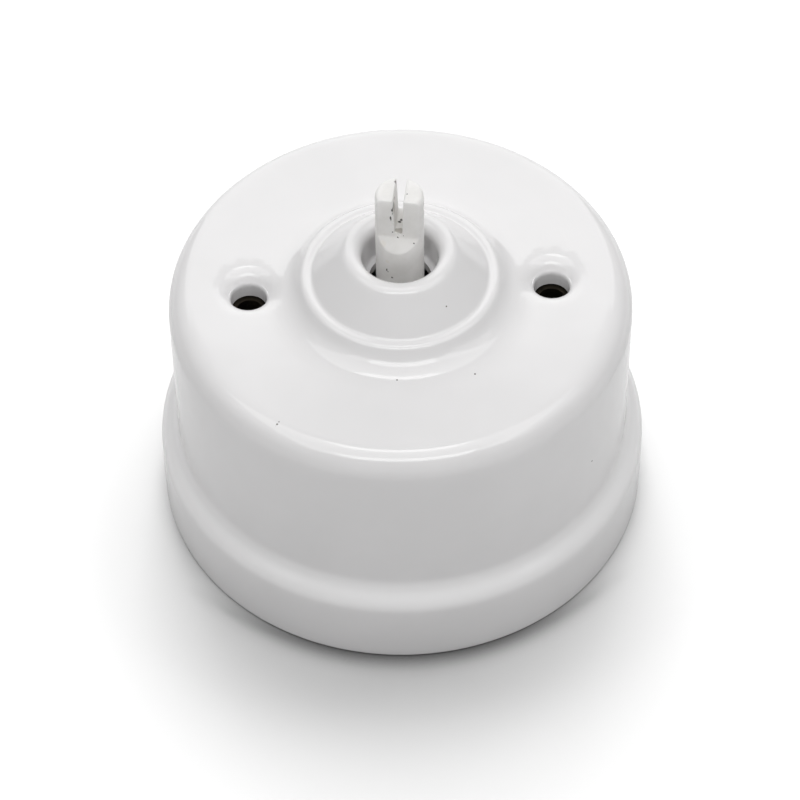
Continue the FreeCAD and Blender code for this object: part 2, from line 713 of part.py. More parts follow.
def cut_stub(body, stub_radius, top):
    """The flat with its sloping end, on the side of the viewer, and the slit across it."""
    flat = size["flat_thickness"] - stub_radius
    outside = stub_radius + size["flat_runout"]
    flat_foot = top - size["flat_length"]
    cut = sketch_on(body, "flat_section", "YZ_Plane", turn=size["flat_turn"])
    draw_outline(cut, [
        (-flat, top + size["stub_round"]),
        (-outside, top + size["stub_round"]),
        (-outside, flat_foot - size["flat_runout"] * (outside - flat) / (stub_radius - flat)),
        (-flat, flat_foot),
    ])
    pocket(body, cut, "stub_flat", size["stub_diameter"] * 2, both_ways=True)
    slit = sketch_on(body, "slit_section", "XZ_Plane", turn=size["flat_turn"])
    draw_outline(slit, [
        (-size["slit_floor"] / 2, top - size["slit_depth"]),
        (size["slit_floor"] / 2, top - size["slit_depth"]),
        (size["slit_top"] / 2, top),
        (size["slit_top"] / 2, top + size["stub_round"]),
        (-size["slit_top"] / 2, top + size["stub_round"]),
        (-size["slit_top"] / 2, top),
    ])
    pocket(body, slit, "stub_slit", size["stub_diameter"] * 2, both_ways=True)


def make_ring(name, outside, inside, low, thickness):
    body = new_body(name)
    plan = sketch_on(body, f"{name}_plan", "XY_Plane", lift=low)
    draw_circle(plan, 0, 0, outside)
    draw_circle(plan, 0, 0, inside)
    pad(body, plan, f"{name}_ring", thickness)
    return body


def make_moving_contact():
    """The moving contact: a collector disc with two arms, stamped from brass sheet."""
    body = new_body("moving_contact")
    disc = sketch_on(body, "collector_plan", "XY_Plane", lift=blade_low)
    draw_circle(disc, 0, 0, size["blade_disc"])
    pad(body, disc, "collector_disc", size["blade_thickness"])
    arms = sketch_on(body, "arm_plan", "XY_Plane", lift=blade_low, turn=as_size(BLADE_TURN))
    half_span = size["blade_span"] / 2
    half_width = size["blade_width"] / 2
    tip_arc = half_span  # the tips follow the circle that they sweep
    shoulder = size["blade_span"] / 2 - size["blade_width"] * size["blade_width"] / (half_span * 8)
    draw_outline(arms, [
        (-shoulder, -half_width),
        (shoulder, -half_width, tip_arc, 1),
        (shoulder, half_width),
        (-shoulder, half_width, tip_arc, 1),
    ])
    pad(body, arms, "contact_arms", size["blade_thickness"])
    hole = sketch_on(body, "contact_hole_plan", "XY_Plane", lift=blade_top)
    draw_square(hole, square_hole)
    pocket(body, hole, "contact_hole")
    return body


def make_hub():
    """The moulded rotor hub, with a narrower neck under the cam."""
    body = new_body("rotor_hub")
    section = sketch_on(body, "hub_section", "XZ_Plane")
    neck_low = hub_top - size["hub_neck_height"]
    draw_outline(section, [
        (0, blade_top),
        (size["hub_diameter"] / 2, blade_top),
        (size["hub_diameter"] / 2, neck_low),
        (size["hub_neck"] / 2, neck_low),
        (size["hub_neck"] / 2, hub_top),
        (0, hub_top),
    ])
    revolve(body, section, "hub_turned")
    hole = sketch_on(body, "hub_hole_plan", "XY_Plane", lift=hub_top)
    draw_square(hole, square_hole)
    pocket(body, hole, "hub_hole")
    return body


def make_cam():
    """The square index cam with rounded corners."""
    body = new_body("index_cam")
    plan = sketch_on(body, "cam_plan", "XY_Plane", lift=hub_top)
    draw_square(plan, size["cam_width"])
    pad(body, plan, "cam_block", size["cam_height"])
    doc.recompute()
    ease(body, "Fillet", "cam_corners", upright_edges(body.Shape), size["cam_round"])
    hole = sketch_on(body, "cam_hole_plan", "XY_Plane", lift=cam_top)
    draw_square(hole, square_hole)
    pocket(body, hole, "cam_hole")
    return body


def make_index_spring(name, degrees):
    """A bowed leaf spring, hooked round a leg of the yoke, that bears on one flat of the cam."""
    body = new_body(name)
    leaf = size["index_sheet"]
    half_width = size["yoke_width"] / 2 + size["running_gap"]
    crown = size["cam_width"] / 2 + size["running_gap"]
    back = upper_inside - size["running_gap"]
    bow = arc_radius(half_width, back - leaf - crown)
    hook_end = back + size["index_hook"]
    low = (hub_top + cam_top - size["index_height"]) / 2
    plan = sketch_on(body, f"{name}_plan", "XY_Plane", lift=low)
    draw_outline(plan, [
        (half_width + leaf, hook_end),
        (half_width, hook_end),
        (half_width, back, bow + leaf, -1),
        (0, crown + leaf, bow + leaf, -1),
        (-half_width, back),
        (-half_width, hook_end),
        (-half_width - leaf, hook_end),
        (-half_width - leaf, back - leaf),
        (-half_width, back - leaf, bow, 1),
        (0, crown, bow, 1),
        (half_width, back - leaf),
        (half_width + leaf, back - leaf),
    ])
    pad(body, plan, f"{name}_leaf", size["index_height"])
    turn_about_spindle(body, degrees)
    return body


# Bearing

def make_yoke():
    """The yoke: one folded steel strip that spans the rotor and carries the bearing."""
    body = new_body("yoke")
    half = [
        (foot_end, deck),
        (foot_end, deck + size["yoke_sheet"]),
        (leg_outside, deck + size["yoke_sheet"]),
        (leg_outside, shelf_top),
        (upper_outside, shelf_top),
        (upper_outside, plate_top),
    ]
    inner_half = [
        (upper_inside, plate_low),
        (upper_inside, shelf_low),
        (leg_inside, shelf_low),
        (leg_inside, deck),
    ]
    left = [(-y, z) for y, z in reversed(half)]
    inner_left = [(-y, z) for y, z in reversed(inner_half)]
    section = sketch_on(body, "yoke_section", "YZ_Plane")
    draw_outline(section, half + left + inner_left + inner_half)
    pad(body, section, "yoke_strip", size["yoke_width"], both_ways=True)
    doc.recompute()
    inside_folds = [half[2], half[4], inner_half[0], inner_half[2]]
    outside_folds = [half[3], half[5], inner_half[1], inner_half[3]]
    ease(body, "Fillet", "inside_folds", folds_at(body.Shape, inside_folds), size["yoke_bend"])
    ease(body, "Fillet", "outside_folds", folds_at(body.Shape, outside_folds),
         size["yoke_bend"] + size["yoke_sheet"])
    hole = sketch_on(body, "bush_hole_plan", "XY_Plane", lift=plate_top)
    draw_circle(hole, 0, 0, size["bush_diameter"] + size["fixed_gap"] * 2)
    pocket(body, hole, "bush_hole", size["yoke_sheet"] * 2)
    feet = sketch_on(body, "foot_hole_plan", "XY_Plane", lift=deck + size["yoke_sheet"])
    for side in (-1, 1):
        draw_circle(feet, 0, yoke_screw_reach * side, screw_thread_hole)
    pocket(body, feet, "foot_holes")
    return body


def make_bush():
    """The bearing bush: a brass sleeve with a flange under the yoke's plate."""
    body = new_body("bearing_bush")
    bore = size["journal_diameter"] / 2 + size["running_gap"]
    section = sketch_on(body, "bush_section", "XZ_Plane")
    draw_outline(section, [
        (bore, bush_low),
        (size["bush_flange"] / 2, bush_low),
        (size["bush_flange"] / 2, plate_low),
        (size["bush_diameter"] / 2, plate_low),
        (size["bush_diameter"] / 2, bush_top),
        (bore, bush_top),
    ])
    revolve(body, section, "bush_turned")
    return body


def make_nut():
    """The hexagon nut that clamps the bush to the yoke."""
    body = new_body("bush_nut")
    plan = sketch_on(body, "nut_plan", "XY_Plane", lift=plate_top)
    draw_hexagon(plan, size["nut_flats"])
    draw_circle(plan, 0, 0, size["bush_diameter"] + size["fixed_gap"] * 2)
    pad(body, plan, "nut_block", size["nut_height"])
    return body


# Terminals, springs and screws

def make_terminal(name, degrees):
    """A brass terminal block with a wire bore, a clamp screw above and a fixing screw below."""
    body = new_body(f"terminal_{name}")
    reach = terminal_reach
    half_length = size["terminal_length"] / 2
    half_width = size["terminal_width"] / 2
    plan = sketch_on(body, f"terminal_{name}_plan", "XY_Plane", lift=block_low)
    draw_box(plan, reach - half_length, reach + half_length, -half_width, half_width)
    pad(body, plan, f"terminal_{name}_block", size["terminal_height"])
    doc.recompute()
    ease(body, "Chamfer", f"terminal_{name}_edges", upright_edges(body.Shape), size["terminal_edge"])
    bore = sketch_on(body, f"terminal_{name}_bore_plan", "YZ_Plane")
    draw_circle(bore, 0, wire_level, size["wire_bore"])
    pocket(body, bore, f"terminal_{name}_wire_bore", (reach + half_length) * 2, both_ways=True)
    clamp = sketch_on(body, f"terminal_{name}_clamp_plan", "XY_Plane", lift=block_top)
    draw_circle(clamp, reach, 0, screw_thread_hole)
    pocket(body, clamp, f"terminal_{name}_clamp_hole", block_top - wire_level)
    fixing = sketch_on(body, f"terminal_{name}_fixing_plan", "XY_Plane", lift=block_low)
    draw_circle(fixing, reach, 0, screw_thread_hole)
    pocket(body, fixing, f"terminal_{name}_fixing_hole", screw_tip - block_low + size["fixed_gap"] * 2,
           upwards=True)
    turn_about_spindle(body, degrees)
    return body


def make_contact_spring(name, degrees, reach):
    """A bronze leaf: its tail lies under the terminal block and its tip stands below the rotor."""
    body = new_body(f"contact_spring_{name}")
    tail = terminal_reach + size["terminal_length"] / 2
    knee = terminal_reach - size["terminal_length"] / 2 - size["spring_knee"]
    bend = knee - size["spring_slope"]
    tip = reach - size["button_inset"]
    sheet_up = size["spring_sheet"]
    section = sketch_on(body, f"spring_{name}_section", "XZ_Plane")
    draw_outline(section, [
        (tail, deck),
        (tail, deck + sheet_up),
        (knee, deck + sheet_up),
        (bend, spring_top),
        (tip, spring_top),
        (tip, spring_low),
        (bend, spring_low),
        (knee, deck),
    ])
    pad(body, section, f"spring_{name}_leaf", size["spring_width"], both_ways=True)
    hole = sketch_on(body, f"spring_{name}_hole_plan", "XY_Plane", lift=deck + sheet_up)
    draw_circle(hole, terminal_reach, 0, screw_clearance_hole)
    pocket(body, hole, f"spring_{name}_hole")
    turn_about_spindle(body, degrees)
    return body


def make_contact_button(name, degrees, reach):
    """The silver button on the tip of a contact spring."""
    body = new_body(f"contact_button_{name}")
    plan = sketch_on(body, f"button_{name}_plan", "XY_Plane", lift=spring_top)
    draw_circle(plan, reach, 0, size["button_diameter"])
    pad(body, plan, f"button_{name}_disc", size["button_height"])
    turn_about_spindle(body, degrees)
    return body


def make_screws(name, reach, first, count, step, seat, shank, points_up=True):
    """Cheese head screws about the Z axis, with their shanks up or down from the seat of the heads."""
    body = new_body(name)
    head = sketch_on(body, f"{name}_head_plan", "XY_Plane", lift=seat)
    draw_circle(head, reach, 0, size["screw_head"])
    head_pad = pad(body, head, f"{name}_head", size["screw_head_height"])
    head_pad.Reversed = points_up
    shaft = sketch_on(body, f"{name}_shank_plan", "XY_Plane", lift=seat)
    draw_circle(shaft, reach, 0, size["screw_thread"])
    shank_pad = pad(body, shaft, f"{name}_shank", shank)
    shank_pad.Reversed = not points_up
    outer_face = seat - size["screw_head_height"] if points_up else seat + size["screw_head_height"]
    slot = sketch_on(body, f"{name}_slot_plan", "XY_Plane", lift=outer_face)
    half_slot = size["screw_slot"] / 2
    draw_box(slot, reach - size["screw_head"], reach + size["screw_head"], -half_slot, half_slot)
    slot_cut = pocket(body, slot, f"{name}_slot", size["screw_slot_depth"], upwards=points_up)
    round_copies(body, [head_pad, shank_pad, slot_cut], f"{name}_set", count, step * (count - 1))
    turn_about_spindle(body, first)
    return body


def make_all():
    bodies = [make_cover(), make_base()]
    bodies.append(make_insert("cover_insert_left", -1))
    bodies.append(make_insert("cover_insert_right", 1))
    bodies.append(make_spindle())
    bodies.append(make_ring("rotor_washer", size["rotor_washer_diameter"],
                            size["pivot_diameter"] + size["fixed_gap"] * 2,
                            blade_low - size["rotor_washer_thickness"], size["rotor_washer_thickness"]))
    bodies += [make_moving_contact(), make_hub(), make_cam()]
    bodies.append(make_index_spring("index_spring_rear", 0.0))
    bodies.append(make_index_spring("index_spring_front", 180.0))
    bodies += [make_yoke(), make_bush(), make_nut()]
    bodies.append(make_ring("thrust_washer", size["thrust_diameter"],
                            size["journal_diameter"] + size["running_gap"] * 2,
                            thrust_low, size["thrust_thickness"]))
    for name, degrees in TERMINALS:
        reach = common_reach if name == "common" else way_reach
        bodies.append(make_terminal(name, degrees))
        bodies.append(make_contact_spring(name, degrees, reach))
        bodies.append(make_contact_button(name, degrees, reach))
    first = min(degrees for name, degrees in TERMINALS)
    bodies.append(make_screws("terminal_screws", terminal_reach, first, len(TERMINALS),
                              TERMINAL_STEP, screw_seat, size["screw_grip"]))
    bodies.append(make_screws("clamp_screws", terminal_reach, first, len(TERMINALS),
                              TERMINAL_STEP, block_top + size["clamp_lift"], size["clamp_reach"],
                              points_up=False))
    bodies.append(make_screws("yoke_screws", yoke_screw_reach, 90.0, 2, 180.0,
                              screw_seat, size["screw_grip"]))
    return bodies


def check_document():
    doc.recompute()
    for item in doc.Objects:
        if "Invalid" in item.State or "Error" in item.State:
            raise RuntimeError(f"{item.Label} failed: {item.State}")


def write_parts(bodies):
    for body in bodies:
        if body.Shape.isNull() or not body.Shape.isValid():
            raise RuntimeError(f"{body.Label} has no sound shape")
    os.makedirs("parts", exist_ok=True)
    for body in bodies:
        body.Shape.exportStep(f"parts/{body.Label}.step")


all_bodies = make_all()
check_document()
write_parts(all_bodies)
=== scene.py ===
import math

import bmesh
import bpy
from mathutils import Matrix, Vector, noise
from mathutils.geometry import delaunay_2d_cdt


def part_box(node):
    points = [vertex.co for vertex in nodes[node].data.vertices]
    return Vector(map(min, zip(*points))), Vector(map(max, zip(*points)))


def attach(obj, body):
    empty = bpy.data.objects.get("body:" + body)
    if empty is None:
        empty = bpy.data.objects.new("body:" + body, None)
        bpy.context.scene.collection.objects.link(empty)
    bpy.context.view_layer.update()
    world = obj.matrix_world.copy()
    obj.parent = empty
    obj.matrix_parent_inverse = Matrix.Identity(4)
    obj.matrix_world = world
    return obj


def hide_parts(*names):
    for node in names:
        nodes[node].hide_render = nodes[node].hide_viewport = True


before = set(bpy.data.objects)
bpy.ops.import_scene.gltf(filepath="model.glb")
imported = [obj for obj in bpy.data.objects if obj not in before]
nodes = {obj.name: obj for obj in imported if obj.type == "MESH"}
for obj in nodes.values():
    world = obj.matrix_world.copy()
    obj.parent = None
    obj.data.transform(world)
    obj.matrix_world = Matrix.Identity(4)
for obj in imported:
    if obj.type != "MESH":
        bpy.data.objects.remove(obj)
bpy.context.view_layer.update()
mm = 0.001  # the lists of sizes below are in millimetres
scene = bpy.context.scene
print("frame loaded, nodes:", len(nodes))


def addPiece(name, mesh):
    piece = bpy.data.objects.new(name, mesh)
    scene.collection.objects.link(piece)
    return piece


def meshFrom(name, points, faces=(), edges=()):
    mesh = bpy.data.meshes.new(name)
    mesh.from_pydata([Vector(point) * mm for point in points], edges, faces)
    return mesh


def plainMesh(piece, name):
    # what the modifiers make of a piece, as a mesh of its own
    depsgraph = bpy.context.evaluated_depsgraph_get()
    mesh = bpy.data.meshes.new_from_object(piece.evaluated_get(depsgraph))
    mesh.name = name
    return mesh


def dropPiece(piece):
    mesh = piece.data
    bpy.data.objects.remove(piece)
    bpy.data.meshes.remove(mesh)


def arcPoints(start, end, radius, side, steps):
    # the short arc between two points, its centre left (1) or right (-1) of the way
    a = Vector(start)
    b = Vector(end)
    chord = b - a
    across = Vector((-chord.y, chord.x)).normalized()
    centre = (a + b) / 2 + across * side * math.sqrt(max(radius ** 2 - chord.length ** 2 / 4, 0))
    first = math.atan2(a.y - centre.y, a.x - centre.x)
    last = math.atan2(b.y - centre.y, b.x - centre.x)
    sweep = (last - first + math.pi) % (2 * math.pi) - math.pi
    turns = [first + sweep * step / steps for step in range(steps + 1)]
    return [(centre.x + radius * math.cos(t), centre.y + radius * math.sin(t)) for t in turns]


def risingRadius(run, rise):
    return (run * run + rise * rise) / (2 * rise)


def evenLine(points, step):
    # the same line with points at even steps
    points = [Vector(point) for point in points]
    ahead = [0.0]
    for a, b in zip(points, points[1:]):
        ahead.append(ahead[-1] + (b - a).length)
    count = max(2, round(ahead[-1] / step))
    line = []
    at = 0
    for index in range(count + 1):
        want = ahead[-1] * index / count
        while at < len(points) - 2 and ahead[at + 1] < want:
            at += 1
        span = max(ahead[at + 1] - ahead[at], 1e-9)
        line.append(points[at].lerp(points[at + 1], (want - ahead[at]) / span))
    return line


def softLine(points, step, softness):
    # glaze fills the corners: the line's corners are eased, its ends stay
    line = evenLine(points, step)
    for turn in range(round(2 * (softness / step) ** 2)):
        eased = [(a + b * 2 + c) / 4 for a, b, c in zip(line, line[1:], line[2:])]
        line = [line[0]] + eased + [line[-1]]
    return line


def pickRings(line, turnStep, longest, shortest, growth):
    # fewer points where the line is straight, more where it bends
    lengths = [(b - a).length for a, b in zip(line, line[1:])]
    wanted = [longest] * len(line)
    for index in range(1, len(line) - 1):
        before = line[index] - line[index - 1]
        after = line[index + 1] - line[index]
        bend = abs(before.angle_signed(after)) / lengths[index]
        if bend > 1e-6:
            wanted[index] = min(longest, max(shortest, turnStep / bend))
    for index in range(1, len(line)):
        wanted[index] = min(wanted[index], wanted[index - 1] + growth * lengths[index - 1])
    for index in range(len(line) - 2, -1, -1):
        wanted[index] = min(wanted[index], wanted[index + 1] + growth * lengths[index])
    rings = [line[0]]
    since = 0.0
    for index in range(1, len(line) - 1):
        since += lengths[index - 1]
        if since >= wanted[index]:
            rings.append(line[index])
            since = 0.0
    return rings + [line[-1]]


def socketNamed(tree, name):
    # the identifier of one of the tree's inputs
    return next(item.identifier for item in tree.interface.items_tree
                if item.item_type == "SOCKET" and item.in_out == "INPUT" and item.name == name)


def newTree(name, inputs):
    tree = bpy.data.node_groups.new(name, "GeometryNodeTree")
    tree.interface.new_socket("Geometry", in_out="INPUT", socket_type="NodeSocketGeometry")
    for label, kind in inputs:
        tree.interface.new_socket(label, in_out="INPUT", socket_type="NodeSocket" + kind)
    tree.interface.new_socket("Geometry", in_out="OUTPUT", socket_type="NodeSocketGeometry")
    return tree


def treeNode(tree, kind, settings=None, **links):
    # a node with its settings, and its inputs linked or set by name
    node = tree.nodes.new(kind)
    for name, value in (settings or {}).items():
        setattr(node, name, value)
    for name, value in links.items():
        wanted = name.replace("_", " ").strip()
        socket = next(s for s in node.inputs if s.name == wanted and s.enabled and not s.is_linked)
        if isinstance(value, bpy.types.NodeSocket):
            tree.links.new(value, socket)
        else:
            socket.default_value = value
    return node


def mathNode(tree, operation, first, second=None):
    node = tree.nodes.new("ShaderNodeMath")
    node.operation = operation
    for socket, value in zip(node.inputs, (first, second)):
        if isinstance(value, bpy.types.NodeSocket):
            tree.links.new(value, socket)
        elif value is not None:
            socket.default_value = value
    return node.outputs[0]


def runTree(piece, tree, values):
    # the tree on a piece, with every input set before its first evaluation
    modifier = piece.modifiers.new(tree.name, "NODES")
    modifier.node_group = tree
    for name, value in values.items():
        modifier[socketNamed(tree, name)] = value
    return modifier


def makeTurnTree():
    # turns a line of points about the Z axis
    tree = newTree("turnLine", [("Segments", "Int")])
    given = tree.nodes.new("NodeGroupInput").outputs
    count = treeNode(tree, "GeometryNodeAttributeDomainSize", {"component": "MESH"},
                     Geometry=given["Geometry"]).outputs["Point Count"]
    columns = mathNode(tree, "ADD", given["Segments"], 1.0)
    grid = treeNode(tree, "GeometryNodeMeshGrid", Vertices_X=count, Vertices_Y=columns)
    index = tree.nodes.new("GeometryNodeInputIndex").outputs[0]
    row = mathNode(tree, "FLOOR", mathNode(tree, "DIVIDE", mathNode(tree, "ADD", index, 0.5), columns))
    column = mathNode(tree, "SUBTRACT", index, mathNode(tree, "MULTIPLY", row, columns))
    turn = mathNode(tree, "MULTIPLY", mathNode(tree, "DIVIDE", column, given["Segments"]), 2 * math.pi)
    place = tree.nodes.new("GeometryNodeInputPosition").outputs[0]
    onLine = treeNode(tree, "GeometryNodeSampleIndex", {"data_type": "FLOAT_VECTOR", "domain": "POINT"},
                      Geometry=given["Geometry"], Value=place, Index=row)
    turned = treeNode(tree, "ShaderNodeVectorRotate", {"rotation_type": "Z_AXIS"},
                      Vector=onLine.outputs["Value"], Angle=turn)
    moved = treeNode(tree, "GeometryNodeSetPosition", Geometry=grid.outputs["Mesh"],
                     Position=turned.outputs[0])
    welded = treeNode(tree, "GeometryNodeMergeByDistance", Geometry=moved.outputs[0], Distance=1e-7)
    out = tree.nodes.new("NodeGroupOutput")
    tree.links.new(welded.outputs[0], out.inputs["Geometry"])
    return tree


def finishTree(tree, geometry, material, sharp):
    # smooth faces, edges sharper than an angle kept, instances made real, material set
    faces = treeNode(tree, "GeometryNodeSetShadeSmooth", {"domain": "FACE"}, Geometry=geometry)
    fold = tree.nodes.new("GeometryNodeInputMeshEdgeAngle").outputs["Unsigned Angle"]
    smooth = mathNode(tree, "LESS_THAN", fold, sharp)
    edges = treeNode(tree, "GeometryNodeSetShadeSmooth", {"domain": "EDGE"}, Geometry=faces.outputs[0],
                     Shade_Smooth=smooth)
    real = treeNode(tree, "GeometryNodeRealizeInstances", Geometry=edges.outputs[0])
    painted = treeNode(tree, "GeometryNodeSetMaterial", Geometry=real.outputs[0], Material=material)
    out = tree.nodes.new("NodeGroupOutput")
    tree.links.new(painted.outputs[0], out.inputs["Geometry"])


turnTree = makeTurnTree()


def startMaterial(name, colour, roughness, metallic=0.0):
    material = bpy.data.materials.new(name)
    material.use_nodes = True
    shader = material.node_tree.nodes["Principled BSDF"]
    shader.inputs["Base Color"].default_value = (*colour, 1)
    shader.inputs["Roughness"].default_value = roughness
    shader.inputs["Metallic"].default_value = metallic
    return material, material.node_tree, shader


def objectPlace(tree):
    return tree.nodes.new("ShaderNodeTexCoord").outputs["Object"]


def cloud(tree, place, scale, detail=4.0, roughness=0.55):
    return treeNode(tree, "ShaderNodeTexNoise", Vector=place, Scale=scale, Detail=detail,
                    Roughness=roughness).outputs["Fac"]


def between(tree, value, low, high, newLow=0.0, newHigh=1.0):
    node = treeNode(tree, "ShaderNodeMapRange", {"interpolation_type": "SMOOTHSTEP"}, Value=value)
    for name, number in (("From Min", low), ("From Max", high), ("To Min", newLow), ("To Max", newHigh)):
        node.inputs[name].default_value = number
    return node.outputs["Result"]


def tint(tree, amount, under, over):
    # one colour going over into another
    node = tree.nodes.new("ShaderNodeMix")
    node.data_type = "RGBA"
    sockets = [s for s in node.inputs if s.enabled]
    colours = [s for s in sockets if s.type == "RGBA"]
    for socket, value in ((sockets[0], amount), (colours[0], under), (colours[1], over)):
        if isinstance(value, bpy.types.NodeSocket):
            tree.links.new(value, socket)
        else:
            socket.default_value = value if isinstance(value, float) else (*value, 1)
    return next(s for s in node.outputs if s.enabled and s.type == "RGBA")


def bumpFrom(tree, shader, height, strength, distance):
    bump = treeNode(tree, "ShaderNodeBump", Strength=strength, Distance=distance, Height=height)
    tree.links.new(bump.outputs["Normal"], shader.inputs["Normal"])


def markAt(tree, place, centre, radius, stretch=(1, 1, 1)):
    # a small soft-edged mark on the surface: 1 inside it, 0 outside
    shifted = treeNode(tree, "ShaderNodeVectorMath", {"operation": "SUBTRACT"})
    tree.links.new(place, shifted.inputs[0])
    shifted.inputs[1].default_value = [value * mm for value in centre]
    scaled = treeNode(tree, "ShaderNodeVectorMath", {"operation": "MULTIPLY"})
    tree.links.new(shifted.outputs[0], scaled.inputs[0])
    scaled.inputs[1].default_value = [1 / value for value in stretch]
    away = treeNode(tree, "ShaderNodeVectorMath", {"operation": "LENGTH"})
    tree.links.new(scaled.outputs[0], away.inputs[0])
    return between(tree, away.outputs["Value"], radius * mm * 0.55, radius * mm, 1.0, 0.0)


def marksAt(tree, place, marks):
    total = None
    for mark in marks:
        one = markAt(tree, place, *mark)
        total = one if total is None else mathNode(tree, "MAXIMUM", total, one)
    return total


glazeLook = {
    "colour": (0.80, 0.792, 0.795), "shade": (0.776, 0.769, 0.771), "roughness": 0.09, "ior": 1.52,
    "shadeScale": 55.0, "glossScale": 240.0, "waveScale": 130.0, "waveStrength": 0.05, "waveDepth": 0.4,
    # the heights in millimetres and the colour of the painted highlight on the waist
    "paintedHighlightBand": (9.2, 13.4), "paintedHighlightColour": (0.885, 0.88, 0.882), "speckColour": (0.16, 0.15, 0.14),
    "specks": [  # place and radius of the dark pinholes
        ((-16.62, -22.58, 36.69), 0.13), ((-16.43, -22.36, 36.75), 0.19), ((-16.18, -22.03, 36.80), 0.12),
        ((8.73, -15.51, 36.80), 0.16), ((-1.15, -16.05, 36.87), 0.14),
        ((-6.82, -28.80, 35.57), 0.12), ((23.84, -18.37, 21.88), 0.17), ((5.53, -7.76, 41.12), 0.13),
    ],
}


def makeGlaze(look):
    material, tree, shader = startMaterial("whiteGlaze", look["colour"], look["roughness"])
    place = objectPlace(tree)
    drift = between(tree, cloud(tree, place, look["shadeScale"], 3.0), 0.35, 0.7)
    colour = tint(tree, drift, look["colour"], look["shade"])
    # painted highlight: the glaze is painted whiter in a band round the hollow of the waist, where light makes
    # it bright
    level = treeNode(tree, "ShaderNodeSeparateXYZ", Vector=place).outputs["Z"]
    low, high = [value * mm for value in look["paintedHighlightBand"]]
    rise = between(tree, level, low, (low + high) / 2)
    paintedHighlight = mathNode(tree, "MULTIPLY", rise, between(tree, level, (low + high) / 2, high, 1.0, 0.0))
    colour = tint(tree, paintedHighlight, colour, look["paintedHighlightColour"])
    colour = tint(tree, marksAt(tree, place, look["specks"]), colour, look["speckColour"])
    tree.links.new(colour, shader.inputs["Base Color"])
    gloss = between(tree, cloud(tree, place, look["glossScale"], 2.0), 0.3, 0.8, look["roughness"] * 0.8,
                    look["roughness"] * 1.35)
    tree.links.new(gloss, shader.inputs["Roughness"])
    shader.inputs["IOR"].default_value = look["ior"]
    waves = cloud(tree, place, look["waveScale"], 2.0)
    bumpFrom(tree, shader, waves, look["waveStrength"], look["waveDepth"] * mm)
    return material


coverShape = {
    "flangeRadius": 32.48, "drumRadius": 30.1, "waistTop": 13.5, "waistHollow": 2.4, "waistLean": 60.0,
    "edgeRound": 2.3, "edgeLean": 14.0,
    "plateau": 36.8, "shoulderRound": 3.2, "footRound": 0.4,
    "bossRadius": 16.9, "beadRadius": 12.2, "beadHeight": 2.4, "beadWidth": 1.3, "beadDrop": 0.2,
    "coneFoot": 2.6, "coneSlope": 46.0, "lipHeight": 6.9, "lipRound": 1.5,
    "boreRadius": 4.9, "landRadius": 4.05, "landTop": 38.4, "landLow": 37.2,
    "hollowTop": 8.0, "hollowMouth": 9.6, "ceiling": 33.4, "ceilingRound": 2.0,
    "cavityRadius": 26.0, "seat": 10.0, "mouthRadius": 28.4, "mouthEdge": 0.3,
    "holeReach": 19.65, "holeRadius": 2.3, "holeEdge": 0.3, "edgeDrop": 2.4, "edgeSteps": 6, "throatFoot": 0.6,
    "dishWidth": 2.6, "dishDepth": 1.45, "dishShift": 0.3, "dishSteps": 16, "dishCrowd": 0.8,
    "sheetInside": 13.4, "sheetOutside": 26.2, "sheetPlay": 0.1, "netGap": 0.12, "throatBand": 0.3,
    "segments": 256, "holeSegments": 72, "softness": 0.25, "step": 0.08, "weld": 0.002, "sharp": 50.0,
    "ringTurn": 5.0, "ringLongest": 2.0, "ringShortest": 0.16, "ringGrowth": 0.45,
}


